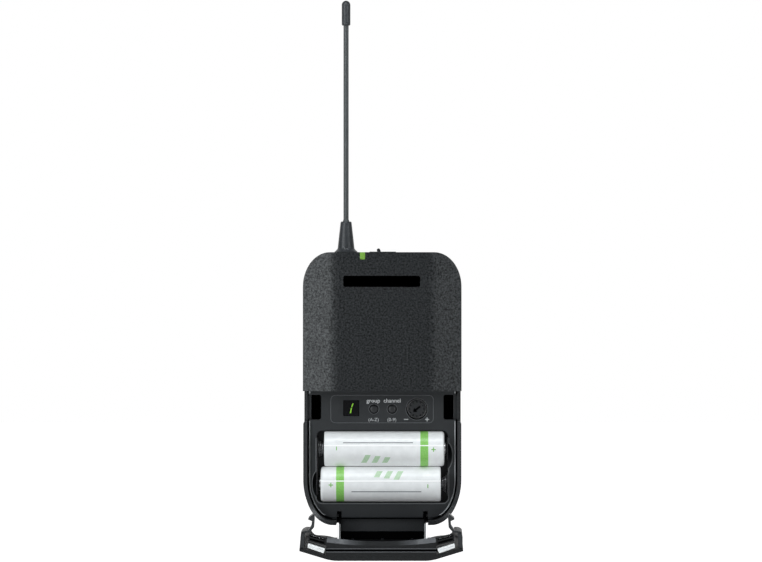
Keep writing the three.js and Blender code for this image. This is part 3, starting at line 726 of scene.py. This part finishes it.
def end_wall():
    """The door's free-end wall. Its upper face leans back, from a line that sags in the middle."""
    near, far = DOOR_TOP - 0.05, DOOR_TOP - 4.2

    def section_at(x):
        lean, crest, back = scooped_face(x)
        return [(x, FRONT + 0.9, near), (x, lean, near), (x, crest, back), (x, crest - 0.6, far),
                (x, FRONT + 0.9, far)]
    return loft([section_at(x) for x in stations(END_HALF, 96)])


def scooped_face(x):
    """The end wall's leaning face at x: the depths of its two edges and the height of the back one."""
    f = x / END_HALF
    out = min(1, max(0, (abs(x) - 11) / 8))
    ease = out * out * (3 - 2 * out)
    return -15.1 + 1.4 * f * f, -13.4 + 1.4 * f * f, DOOR_TOP - 0.65 - 1.6 * ease


def face_skin():
    """A thin skin on the leaning face, carrying a painted sheen towards its ends."""
    def section_at(x):
        lean, crest, back = scooped_face(x)
        near = DOOR_TOP - 0.05
        return [(x, lean, near + 0.05), (x, crest + 0.04, back + 0.05), (x, crest - 0.12, back - 0.12),
                (x, lean + 0.02, near - 0.15)]
    return loft([section_at(x) for x in stations(END_HALF - 0.3, 96)])


def stations(half, count):
    return [-half + 2 * half * i / count for i in range(count + 1)]


def sided(side, points, span):
    """An outline in X and Y pushed along Z, mirrored for the left side."""
    return prism([(side * x, y) for x, y in points], "z", span)


BEAM_SLOPE = 0.13


def beam(side):
    """The sloping box beside the end wall that carries a latch, hollow towards the door's free end."""
    outer = ((21.2, -15.2), (21.2, -12.0), (23, -11.45), (28.2, -10.3), (28.7, -13.3))
    bar = sided(side, outer, (-12.4, -2.9))
    pocket = sided(side, ((22.2, -14.5), (22.2, -12.4), (27.9, -10.8), (28.1, -12.9)), (-7, -1))
    rail = sided(side, ((21.8, -13.65), (21.8, -13.15), (28.6, -11.4), (28.6, -11.9)), (-6.8, -3.0))
    body = join(cut(bar, pocket), rail)
    slope = Matrix.Identity(4)
    slope[1][2], slope[1][3] = BEAM_SLOPE, -BEAM_SLOPE * LATCH_Z[1]
    body.data.transform(slope)
    return body


def battery_door():
    front = keep(case_form(0, 1.0), box(FAR, (-30, PARTING - SEAM), (-60, DOOR_TOP)))
    body = cut(
        front, case_form(WALL - 0.1),
        *both_sides(lambda s: box((s * 18.3, s * 40), (RIM_Y - SEAM, 5), (-60, LATCH_Z[0] - 0.2))),
        *both_sides(lambda s: corner_sweep(s, 0.25)),
        *both_sides(lambda s: box((s * 29.6, s * 40), (-16.2, 5), (LATCH_Z[0] - 0.3, 5))),
        box((-18.3, 18.3), (-19.5, 5), (-60, -50)),
    )
    arm_side = [(FRONT + 0.8, -55), (-7.9, -55)] + arc(HINGE_Y, HINGE_Z, 1.15, 1.15, 0, 180, 14) + [
        (-13.5, -52.6), (FRONT + 1.2, -52.6)]
    ribs = [box((x - 0.5, x + 0.5), (-19.6, -18.4), (-50, -8)) for x in (-12, 0, 12)]
    body = join(
        body, end_wall(), *both_sides(beam),
        box((-STRAP_HALF, STRAP_HALF), (FRONT + 0.6, -7.9), (-55, -53.6)),
        *both_sides(lambda s: soften(prism(arm_side, "x", (s * ARM[0], s * ARM[1])), 0.3, 3)), *ribs,
    )
    slot = box((-22.3, 22.3), (-17.3, -16.45), (DOOR_TOP - 3, 0))
    body = cut(body, slot, *both_sides(lambda s: rod_x(s, 15, 19, 0.75, HINGE_Y, HINGE_Z)))
    place(body, "battery_door_moulding", door_black, "door", "case_black", ["battery_door"],
          0.17, 2, 36, turn=OPEN_DOOR)
    door_trim()


def door_trim():
    """The door's painted shade and light: a black pad, a black strip and a paler patch on the hinge wall,
    painted highlights on the lips of the groove, a black fill in the groove, the skin with a painted sheen
    above it, painted highlights on the arms' edges and black sleeves over the knuckles.
    """
    # painted shade: a black pad low on the hinge wall, where light does not reach
    low_shade = prism(round_rect((-16.8, 16.8), (-19.3, -16.1), 0.4), "z", (-53.65, -53.2))
    on_door(low_shade, "door_low_shade_pad", deep_black, 0.08)
    # painted shade: a black strip along the top of the hinge wall
    shade = box((-16.8, 16.8), (-10.9, -8.4), (-53.65, -53.35))
    on_door(shade, "door_hinge_shade", deep_black, 0.05)
    # painted light: a paler patch on the hinge wall, standing in for light falling on it
    land = box((-16.8, 16.8), (-16.0, -11.0), (-53.65, -53.35))
    on_door(land, "door_hinge_lit_patch", lit_patch_grey, 0.08)
    # the skin's paleness towards its ends is a painted sheen
    on_door(face_skin(), "door_face_skin", door_face_sheen, 0)
    for y, name in ((-16.25, "upper"), (-17.5, "lower")):
        # painted highlight: pale lips along the groove's edges
        lip = box((-21.5, 21.5), (y - 0.16, y + 0.16), (DOOR_TOP - 1, DOOR_TOP + 0.12))
        on_door(lip, f"door_lip_highlight_{name}", pale_highlight_grey, 0.08)
    # painted shade: a black fill in the groove, where its floor would otherwise catch light
    groove_shade = box((-22, 22), (-17.3, -16.45), (DOOR_TOP - 2.9, DOOR_TOP - 0.3))
    on_door(groove_shade, "door_groove_shade", deep_black, 0.05)
    for side, name in SIDES:
        # painted highlight: a pale strip on each arm's edge
        strip = box((side * 17.0, side * 17.65), (-19.6, -11.0), (-52.7, -52.4))
        on_door(strip, f"door_arm_highlight_{name}", arm_highlight_grey, 0.08)
        # painted shade: a black sleeve over each arm's knuckle, which sits in shadow in the notch
        near, far = ARM[0] + 0.05, ARM[1] - 0.05
        sleeve = lathe([(0.78, near), (1.22, near), (1.22, far), (0.78, far)], axis="x", segments=32)
        sleeve.data.transform(Matrix.Translation((0, HINGE_Y, HINGE_Z)) @ Matrix.Scale(side, 4, (1, 0, 0)))
        on_door(sleeve, f"hinge_knuckle_shade_{name}", deep_black, 0)


def latch(side, name):
    """Finger pad, spring arm and barb in one moulding."""
    pad_and_arm = [(31.95, -15.6), (31.4, -9.9), (31.0, -9.5), (28.7, -9.4), (27.35, -7.5), (27.15, -5.6),
                   (28.65, -4.9), (28.5, -4.4), (26.75, -3.0), (26.3, -3.2), (26.15, -5.1), (26.35, -8.1),
                   (28.05, -10.0), (29.8, -10.15), (30.1, -13.4), (30.2, -15.6)]
    arm = sided(side, pad_and_arm, (-8.5, -3))
    thick = ((31.95, -15.9), (31.4, -9.9), (31.0, -9.5), (29.9, -9.5), (30.1, -13.4), (30.2, -15.9))
    pad = sided(side, thick, LATCH_Z)
    grooves = [box((side * 31.55, side * 40), (y, y + 0.45), (-12.2, -3))
               for y in (-14.6, -13.4, -12.2, -11)]
    eye = lathe([(0, -6), (0.3, -6), (0.3, 0), (0, 0)], (side * 30.7, -10.1, 0), "z", 20)
    slope = prism([(-9.4, LATCH_Z[1]), (0, LATCH_Z[1]), (0, -14), (-11.0, -14)], "x", (-33, 33))
    slope = keep(slope, box((side * 29.2, side * 33), (-20, 5), (-14, -8.6)))
    body = cut(join(arm, pad), eye, slope, *grooves)
    place(body, f"{name}_moulding", inner_black, f"{name}_slider", "chassis_black", [name],
          0.12, 2, 32, turn=OPEN_DOOR)
    latch_guide(side, name)


def latch_guide(side, name):
    """The nylon guide beside a latch, which stops short of the squeezed pad, and the latch's spring."""
    wedge = ((22.6, -18.1), (21.9, -16.3), (28.4, -14.3), (28.75, -14.7), (28.8, -15.9))
    guide = sided(side, wedge, (-7, -1.9))
    line = sided(side, ((21.9, -17.1), (21.9, -16.95), (29.9, -14.75), (29.9, -14.9)), (-2.2, -1))
    on_door(cut(guide, line), f"{name}_guide", nylon_white, slot="cell_label")
    points = []
    for i in range(97):
        a, f = i * math.pi / 6, i / 96
        x, y = 22.6 + 5 * f, -12.55 + 1.3 * f
        points.append((side * x, y + 0.62 * math.cos(a), -4.6 + 0.62 * math.sin(a)))
    on_door(tube(points, 0.13, 6), f"{name}_return_spring", nickel, 0, "spring_steel")


# ---- control panel ----
def frame_line(x, z, r, width, span):
    outer = prism(round_rect(x, z, r), "y", span)
    inner = round_rect((x[0] + width, x[1] - width), (z[0] + width, z[1] - width), r - width)
    return cut(outer, prism(inner, "y", (span[0] - 1, span[1] + 1)))


def lettering(words, x, z, size, y=FACE, turn=0.0):
    curve = bpy.data.curves.new("words", "FONT")
    curve.body, curve.size, curve.extrude = words, size, 0.02
    curve.align_x, curve.align_y, curve.offset = "CENTER", "CENTER", -0.004
    holder = bpy.data.objects.new("words", curve)
    bpy.context.scene.collection.objects.link(holder)
    obj = as_mesh(holder)
    spin = Matrix.Rotation(turn, 4, "Z")
    obj.data.transform(Matrix.Translation((x, y - 0.02, z)) @ Matrix.Rotation(math.pi / 2, 4, "X") @ spin)
    return obj


def ring(x, z, inner, outer, span, segments=64):
    a, b = span
    return lathe([(inner, -b), (outer, -b), (outer, -a), (inner, -a)], (x, 0, z), "y", segments)


def key_cap(x, name, body):
    cap = lathe([(0, 11.35), (0.7, 11.36), (1.25, 11.3), (1.5, 11.12), (1.6, 10.9), (1.6, 9), (2.4, 9),
                 (2.4, 8.3), (1.6, 8.3), (1.6, 7.4), (0, 7.4)], (x, 0, PANEL_Z), "y")
    return place(cap, f"{name}_cap", key_black, body, "button_black", [name], 0)


def around(count, r, start=0):
    """Evenly spaced places on a circle about the dial, with their angles."""
    angles = [math.radians(start + 360 * i / count) for i in range(count)]
    return [(DIAL_X + r * math.cos(a), PANEL_Z + r * math.sin(a), a) for a in angles]


def gain_dial():
    body = lathe([(0, 10.62), (2.3, 10.62), (2.45, 10.75), (3.3, 10.75), (3.5, 10.55), (3.5, 8.6), (1.5, 8.6),
                  (1.5, 7.9), (0, 7.9)], (DIAL_X, 0, PANEL_Z), "y", 96)
    bites = [prism(disc(x, z, 0.16, 10), "y", (-11.5, -9.5)) for x, z, _ in around(36, 3.52)]
    arrow = [(-2.0, 0.0), (-0.55, 1.15), (-0.55, 0.4), (1.75, 0.4), (1.75, -0.4), (-0.55, -0.4),
             (-0.55, -1.15)]
    lean = Matrix.Translation((DIAL_X, 0, PANEL_Z)) @ Matrix.Rotation(math.radians(-38), 4, "Y")
    recess = prism(arrow, "y", (-11.5, -10.1))
    recess.data.transform(lean)
    ticks = [prism(disc(x, z, 0.3, 14), "y", (-11.5, -10.4)) for x, z, _ in around(12, 2.86)]
    body = cut(body, *bites, recess, *ticks)
    place(body, "gain_dial_cap", key_black, "dial", "button_black", ["gain_dial"], 0.05, 2)
    floor = prism([(x * 0.94, z * 0.94) for x, z in arrow], "y", (-10.25, -10.0))
    floor.data.transform(lean)
    dots = [prism(disc(x, z, 0.27, 14), "y", (-10.5, -10.3)) for x, z, _ in around(12, 2.86)]
    place(join(floor, *dots), "gain_dial_marks", deep_black, "dial", "button_black", bevel=0)


def slanted_bar(start, end, half=0.24):
    """One lit stroke of the display, between two places measured from the middle of the window."""
    (x0, z0), (x1, z1) = ((DISPLAY_X + x, DISPLAY_Z + z) for x, z in (start, end))
    return prism([(x0 - half, z0), (x0 + half, z0), (x1 + half, z1), (x1 - half, z1)], "y", (-10.62, -10.55))


def panel():
    # painted highlight: the outline's pale grey stands in for light on its raised ridge
    line = frame_line((-21.0, 20.8), (-14.2, -2.8), 1.9, 0.25, (FACE - 0.1, FACE + 0.02))
    place(line, "panel_outline", pale_highlight_grey, "case", "chassis_black", bevel=0.05)
    for x, words, name in ((GROUP_X - 0.25, "group", "group_label"), (CHANNEL_X, "channel", "channel_label")):
        place(lettering(words, x, -5.15, 2.3), name, print_white, "case", "cell_label", bevel=0)
    for x, words, name in ((GROUP_X, "(A-Z)", "group_range"), (CHANNEL_X, "(0-9)", "channel_range")):
        place(lettering(words, x - 0.15, -12.85, 1.9), name, print_mid, "case", "cell_label", bevel=0)
    minus = box((8.8, 10.5), (FACE - 0.03, FACE + 0.01), (-12.85, -12.52))
    place(minus, "gain_minus_mark", print_mid, "case", "cell_label", bevel=0)
    plus = join(box((17.35, 18.95), (FACE - 0.03, FACE + 0.01), (-12.85, -12.52)),
                box((17.98, 18.32), (FACE - 0.035, FACE + 0.005), (-13.5, -11.9)))
    place(plus, "gain_plus_mark", print_mid, "case", "cell_label", bevel=0)
    for x, r, name in ((GROUP_X, 1.92, "group"), (CHANNEL_X, 1.92, "channel"), (DIAL_X, 4.33, "dial")):
        # painted highlight: each ring is a pale line on the hole's edge; the black cup inside is painted
        # shade in the gap
        rim = ring(x, PANEL_Z, r, r + 0.22, (FACE - 0.1, FACE + 0.2))
        place(rim, f"{name}_ring", pale_highlight_grey, "case", "chassis_black", bevel=0.08)
        # painted shade: a black cup fills the gap round each key and the dial
        cup = lathe([(r - 0.02, 10.7), (r + 0.05, 10.7), (r + 0.05, 9.4), (r - 0.4, 9.4), (r - 0.4, 9.5),
                     (r - 0.02, 9.5)], (x, 0, PANEL_Z), "y")
        place(cup, f"{name}_gap_shade", deep_black, "case", "button_black", bevel=0)
    key_cap(GROUP_X, "group_button", "group_key")
    key_cap(CHANNEL_X, "channel_button", "channel_key")
    gain_dial()
    glass = prism(around_display(3.1, 0.2), "y", (-10.5, -9.6))
    place(glass, "display_window_pane", window_smoke, "case", "window_dark", ["display_window"], 0.06)
    for name, start, end in (("upper", (0.15, 0.4), (0.75, 2.0)), ("lower", (-0.35, -2.0), (0.05, 0.1))):
        bar = slanted_bar(start, end)
        place(bar, f"digit_{name}_glow", digit_green, "case", "glow_green", [f"digit_segment_{name}"], 0)


# ---- top ----
def top_parts():
    pipe = keep(prism(pipe_outline(0), "y", (-30, FRONT + 7)), case_form(0, 0.9))
    place(pipe, "status_light_lens", lamp_green, "case", "glow_green", ["status_light_pipe"], 0.12)
    plate = round_rect((SWITCH_X - 5.35, SWITCH_X + 5.35), (TOP_Y - 2.65, TOP_Y + 2.65), 0.8)
    opening = round_rect((SWITCH_X - 2.8, SWITCH_X + 2.8), (TOP_Y - 1, TOP_Y + 1), 0.4)
    bezel = cut(prism(plate, "z", (53.2, 55.3)), prism(opening, "z", (50, 60)))
    place(bezel, "switch_bezel_moulding", key_black, "case", "button_black", ["switch_bezel"], 0.14, 3)
    lever = prism([(-1.2, 0), (-0.9, -0.9), (0, -1.3), (0.9, -0.9), (1.2, 0), (0.8, 1.2), (0.72, 5.2),
                   (0.66, 6.1), (0.35, 6.45), (-0.35, 6.45), (-0.66, 6.1), (-0.72, 5.2), (-0.8, 1.2)],
                  "y", (-0.8, 0.8))
    lean = Matrix.Translation((SWITCH_X, TOP_Y, 50.4)) @ Matrix.Rotation(math.radians(-17.5), 4, "Y")
    lever.data.transform(lean)
    place(lever, "power_switch_lever", key_black, "switch_lever", "button_black", ["power_switch"], 0.16, 3)
    antenna()


def antenna():
    boot = lathe([(0, 52.8), (2.6, 52.8), (2.6, 55.12), (4.62, 55.12), (4.66, 55.25), (4.3, 55.6),
                  (3.75, 56.1), (3.45, 56.55), (3.36, 57), (3.3, 57.6), (2.3, 66.6), (2.24, 67.1),
                  (2.05, 67.42), (1.9, BOOT_TOP), (1.5, BOOT_TOP), (1.3, 66.75), (0.75, 66.2), (0, 66)],
                 (ANTENNA_X, TOP_Y, 0))
    place(boot, "antenna_boot_rubber", boot_rubber, "case", "rubber_black", ["antenna_boot"], 0)
    ball = [(1.3 * math.cos(a), BOOT_TOP + 1.3 * math.sin(a)) for a in
            (math.radians(-90 + 12 * i) for i in range(11))]
    whip = lathe([(0, BOOT_TOP - 1.3), *ball[1:], (1.05, BOOT_TOP + 0.85), (1.05, 149), (0, 149)],
                 (ANTENNA_X, TOP_Y, 0), segments=32)
    place(whip, "antenna_rod", wire_coat, "antenna", "coated_wire", ["antenna_whip"], 0)
    tip = lathe([(1.2, 147), (1.5, 147), (1.68, 147.15), (1.75, 147.5), (1.75, 155.2), (1.66, 155.9),
                 (1.3, 156.5), (0.75, 156.85), (0.45, TIP_Z), (0, TIP_Z), (0, 149.2), (1.2, 149.2)],
                (ANTENNA_X, TOP_Y, 0), segments=40)
    place(tip, "antenna_cap", boot_rubber, "antenna", "rubber_black", ["antenna_tip"], 0)


def jack():
    shell = cut(
        lathe([(4.45, 42), (5.2, 42), (5.2, 54.85), (5.05, 55), (4.6, 55), (4.45, 54.85)], (JACK_X, TOP_Y, 0),
              segments=72),
        box((JACK_X - 1, JACK_X + 1), (TOP_Y - 6, TOP_Y - 4.15), (49, 60)))
    place(shell, "jack_barrel", zinc, "case", "steel", ["jack_shell"], 0.08)
    spots = [(JACK_X + 2.3 * math.cos(math.radians(a)), TOP_Y + 2.3 * math.sin(math.radians(a)))
             for a in (45, 135, 225, 315)]
    core = lathe([(0, 42), (4.35, 42), (4.35, 45.8), (4.1, 46), (0, 46)], (JACK_X, TOP_Y, 0), segments=64)
    insert = cut(core, *[prism(disc(x, y, 0.6, 24), "z", (40, 50)) for x, y in spots])
    place(insert, "jack_insulator", deep_black, "case", "button_black", ["jack_insert"], 0.06)
    for i, (x, y) in enumerate(spots, 1):
        pin = lathe([(0, 41), (0.5, 41), (0.5, 49.5), (0.3, 49.9), (0, 50)], (x, y, 0), segments=24)
        place(pin, f"jack_contact_{i}", gold, "case", "brass_gold", [f"jack_pin_{i}"], 0)


# ---- cells ----
def cell(z, side, name, body):
    x0, half = CELL_X[side], CELL_HALF
    sleeve = lathe([(4.2, -half - 0.05), (6.5, -half - 0.1), (6.85, -half + 0.05), (CELL_R, -half + 0.5),
                    (CELL_R, half - 1.1), (6.9, half - 0.6), (6.5, half - 0.25), (5.4, half - 0.12),
                    (5.4, half - 0.5), (4.2, half - 0.5)],
                   axis="x", segments=96)
    aim(sleeve, x0, z, side)
    place(sleeve, f"{name}_sleeve", cell_sleeve(f"{name}_film", z, side), body, "cell_label", [name], 0)
    cap = lathe([(0, half - 0.6), (5.3, half - 0.6), (5.3, half - 0.3), (3.2, half - 0.3),
                 (2.75, half - 0.1), (2.75, half + NUB - 0.3), (2.6, half + NUB - 0.08),
                 (2.3, half + NUB), (0, half + NUB)], axis="x")
    aim(cap, x0, z, side)
    place(cap, f"{name}_positive_cap", nickel, body, "spring_steel", bevel=0)
    base = lathe([(0, -half - 0.05), (4.1, -half - 0.05), (4.1, -half + 0.3), (0, -half + 0.3)], axis="x")
    aim(base, x0, z, side)
    place(base, f"{name}_negative_base", nickel, body, "spring_steel", bevel=0)
    marks(z, side, name, body)


def aim(obj, x, z, side):
    turn = Matrix.Rotation(0 if side > 0 else math.pi, 4, "Z")
    obj.data.transform(Matrix.Translation((x, CELL_Y, z)) @ turn)


def wrap(obj, z, lift=0.03):
    """Lays a flat mark, drawn in X and Z, round the front of a cell."""
    bm = bmesh.new()
    bm.from_mesh(obj.data)
    bmesh.ops.triangulate(bm, faces=bm.faces)
    for _ in range(3):
        long_edges = [e for e in bm.edges if e.calc_length() > 0.7]
        if long_edges:
            bmesh.ops.subdivide_edges(bm, edges=long_edges, cuts=1)
            bmesh.ops.triangulate(bm, faces=bm.faces)
    for v in bm.verts:
        r = CELL_R + lift - (v.co.y - CELL_Y)
        a = (v.co.z - z) / CELL_R
        v.co.y, v.co.z = CELL_Y - r * math.cos(a), z + r * math.sin(a)
    bm.to_mesh(obj.data)
    bm.free()
    return obj


FILM = (CELL_Y, CELL_Y + 0.02)


def marks(z, side, name, body):
    """Printed marks: the end signs, a plain rule and three plain slanting bars."""
    s = side
    plus = join(box((s * 19.8, s * 21.6), FILM, (z - s * 0.2, z + s * 0.2)),
                box((s * 20.5, s * 20.9), (CELL_Y + 0.001, CELL_Y + 0.021), (z - s * 0.9, z + s * 0.9)))
    place(wrap(plus, z), f"{name}_plus_mark", print_green, body, "cell_label", bevel=0)
    minus = box((s * -18.6, s * -18.25), FILM, (z - s * 0.3, z + s * 1.2))
    place(wrap(minus, z), f"{name}_minus_mark", print_green, body, "cell_label", bevel=0)
    rule = box((s * -15.8, s * 12.4), FILM, (z + s * 2.6, z + s * 3.0))
    place(wrap(rule, z), f"{name}_rule_mark", print_grey, body, "cell_label", bevel=0)
    for i in range(3):
        x, low, high = -8.6 + 4.2 * i, -6.2, -2.2 - 0.5 * i
        lean = 0.45 * (high - low)
        bar = prism([(s * (x + a), z + s * b) for a, b in
                     ((0, low), (2.2, low), (2.2 + lean, high), (lean, high))], "y", FILM)
        place(wrap(bar, z), f"{name}_bar_mark_{i + 1}", print_pale, body, "cell_label", bevel=0)


def contacts():
    for z, side, name in ((UPPER_Z, -1, "upper"), (LOWER_Z, 1, "lower")):
        reach = 26.0 - (CELL_HALF + 0.35 + side * CELL_X[-side])
        points = []
        for i in range(73):
            a, f = i * math.pi / 12, i / 72
            r = 3.5 - 1.5 * f
            points.append((side * (26 - reach * f), CELL_Y + r * math.cos(a), z + r * math.sin(a)))
        coil = tube(points, 0.24, 8)
        node_name = f"contact_coil_{name}"
        # the coil's darker nickel is painted shade
        place(coil, f"{node_name}_wire", coil_shaded_nickel, "case", "spring_steel", [node_name], 0)
    spans = {"contact_plate_upper": (1, UPPER_Z - 4.5, UPPER_Z + 4.5, UPPER_Z),
             "contact_plate_lower": (1, LOWER_Z - 4.5, LOWER_Z + 4.5, None),
             "contact_link": (-1, LOWER_Z - 4.5, UPPER_Z + 4.5, LOWER_Z)}
    for name, (side, low, high, positive) in spans.items():
        plate = prism(round_rect((CELL_Y - 4.5, -3.2), (low, high), 1), "x", (side * 26.27, side * 26.48))
        if positive:
            tip = CELL_HALF + NUB + abs(CELL_X[side]) + 0.05
            dome = lathe([(0, tip), (1.2, tip), (2.2, 26.3), (0, 26.3)], axis="x", segments=32)
            aim(dome, 0, positive, side)
            plate = join(plate, dome)
        # the strips' dark nickel is painted shade
        place(plate, f"{name}_strip", deep_shaded_nickel, "case", "spring_steel", [name], 0.04)


# ---- back ----
def back_parts():
    plate = prism(round_rect((-17, 17), (16, 36), 1.1), "y", (BACK - 0.3, BACK - 0.02))
    place(plate, "rating_plate_blank", plate_silver, "case", "plate_grey", ["rating_plate"], 0.03)
    for i, (x, z) in enumerate(SCREWS, 1):
        head = lathe([(0, 0.75), (1.3, 0.78), (1.85, 1.0), (2.0, 1.3), (2.0, 1.9), (0.95, 1.9),
                      (0.95, 14), (0, 14)], (x, 0, z), "y", 36)
        slots = [box((x - a, x + a), (-1.3, 0), (z - b, z + b)) for a, b in ((1.1, 0.22), (0.22, 1.1))]
        place(cut(head, *slots), f"case_screw_{i}_head", zinc, "case", "steel", [f"case_screw_{i}"], 0.05)
    half = [(27.9, -4.7, 22), (30.1, -4.7, 22), (30.7, -3.9, 21.8), (30.7, -1, 20.8), (30.5, 3, 19),
            (28.7, 5.6, 16.5), (25, 6.2, 13), (21, 6.2, 8), (20, 6.2, 0), (19.4, 6.2, -20), (18.2, 4, -30),
            (15, 1.9, -37), (8, 1.6, -40.4)]
    path = half + [(0, 1.6, -41)] + [(-x, y, z) for x, y, z in reversed(half)]
    place(tube(path, 0.9, 14), "belt_clip_wire", nickel, "clip", "spring_steel", ["belt_clip"], 0)


def badge():
    """A blank gloss badge on the cover."""
    shape = prism(round_rect((-15.7, 15.4), (40.9, 45.6), 0.9), "y", (FRONT, FRONT + 0.35))
    return place(shape, "blank_badge", badge_black, "case", "window_dark", bevel=0.1)


def hinge_pins():
    for side, name in SIDES:
        lo, hi = sorted((side * (ARM[0] - 0.1), side * (LUG[1] - 0.1)))
        pin = lathe([(0, lo), (0.5, lo), (0.6, lo + 0.1), (0.6, hi - 0.1), (0.5, hi), (0, hi)],
                    (0, HINGE_Y, HINGE_Z), "x", 32)
        # the pin's dark nickel is painted shade in the hinge notch
        place(pin, f"hinge_pin_{name}_rod", deep_shaded_nickel, "case", "steel", [f"hinge_pin_{name}"], 0)


def inner_looks():
    """Finishes for the CAD parts that sit inside the case."""
    looks = {"gain_pot": tin, "shield_can": tin, "display_module": deep_black, "switch_housing": deep_black,
             "antenna_post": gold, "main_board": board}
    for name, look in looks.items():
        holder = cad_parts[name]
        for entry in holder.material_slots:
            entry.material = look


# ---- the set ----
def stage():
    bm = bmesh.new()
    floor = [(-4, -2.2), (4, -2.2), (4, 3.4), (-4, 3.4)]
    bm.faces.new([bm.verts.new((x, y, FLOOR_Z)) for x, y in floor])
    obj = as_object(bm, "studio_floor")
    made, tree, shader = blank("studio_white", Roughness=0.9)
    shade = ramp(tree, noise(tree, 400.0, 2.0), [(0.3, (0.86, 0.86, 0.86)), (0.7, (0.88, 0.88, 0.88))])
    tree.links.new(shade, shader.inputs["Base Color"])
    tree.links.new(shade, shader.inputs["Emission Color"])
    split = node(tree, "ShaderNodeSeparateXYZ")
    tree.links.new(node(tree, "ShaderNodeTexCoord").outputs["Object"], split.inputs[0])
    tree.links.new(remap(tree, split.outputs["Y"], 0.1, 0.9, 0.0, 0.9), shader.inputs["Emission Strength"])
    obj.data.materials.append(made)


DAYLIGHT = (0.93, 0.98, 1.0)


def area_light(name, at, size, power):
    """A soft box that shines on the object and isn't seen itself."""
    data = bpy.data.lights.new(name, "AREA")
    data.shape, data.size, data.size_y, data.energy = "RECTANGLE", size[0], size[1], power
    data.color = DAYLIGHT
    obj = bpy.data.objects.new(name, data)
    obj.location = at
    obj.rotation_euler = (Vector((0, -0.01, 0)) - Vector(at)).to_track_quat("-Z", "Y").to_euler()
    obj.visible_camera = False
    bpy.context.scene.collection.objects.link(obj)


def air():
    """White behind the object, dim in front of it and darker below, as in a studio with a lit backdrop."""
    world = bpy.data.worlds.new("studio_air")
    world.use_nodes = True
    tree = world.node_tree
    split = node(tree, "ShaderNodeSeparateXYZ")
    tree.links.new(node(tree, "ShaderNodeTexCoord").outputs["Generated"], split.inputs[0])
    behind = remap(tree, split.outputs["Y"], 0.25, 0.7, 0.0, 1.0)
    front = remap(tree, split.outputs["Z"], -0.6, 0.7, FRONT_LOW, FRONT_HIGH)
    level = maths(tree, "MAXIMUM", behind, front)
    tree.links.new(level, tree.nodes["Background"].inputs["Strength"])
    tree.nodes["Background"].inputs["Color"].default_value = (1, 1, 1, 1)
    bpy.context.scene.world = world


def lights():
    area_light("key_left", (-0.85, -0.95, 0.3), (0.3, 1.0), 9.2)
    area_light("fill_right", (0.95, -0.9, 0.25), (0.3, 0.9), 4.2)
    area_light("top_soft", (-0.1, -0.45, 0.95), (0.9, 0.4), 1.8)
    area_light("low_front", (0.0, -0.8, -0.75), (0.9, 0.3), 2.0)
    area_light("top_near", (0.0, -0.16, 0.27), (0.16, 0.05), 0.2)


CAMERA_AWAY, CAMERA_OFFSET = 1.356, 0.012


def camera():
    data = bpy.data.cameras.new("front_view")
    data.sensor_width, data.lens = 36.0, 156.8
    data.clip_start, data.clip_end = 0.05, 50
    data.shift_x = -CAMERA_OFFSET / (CAMERA_AWAY - 0.015) * data.lens / data.sensor_width
    obj = bpy.data.objects.new("front_view", data)
    obj.location = (CAMERA_OFFSET - 0.0005, -CAMERA_AWAY, 0.0434)
    obj.rotation_euler = (math.radians(90), 0, 0)
    bpy.context.scene.collection.objects.link(obj)
    bpy.context.scene.camera = obj


camera()
front_cover()
back_shell()
chassis()
battery_door()
latch(-1, "latch_left")
latch(1, "latch_right")
hinge_pins()
panel()
badge()
top_parts()
jack()
cell(UPPER_Z, 1, "battery_upper", "cell_upper")
cell(LOWER_Z, -1, "battery_lower", "cell_lower")
contacts()
back_parts()
inner_looks()
stage()
air()
lights()
bpy.context.scene.view_settings.view_transform = "Standard"
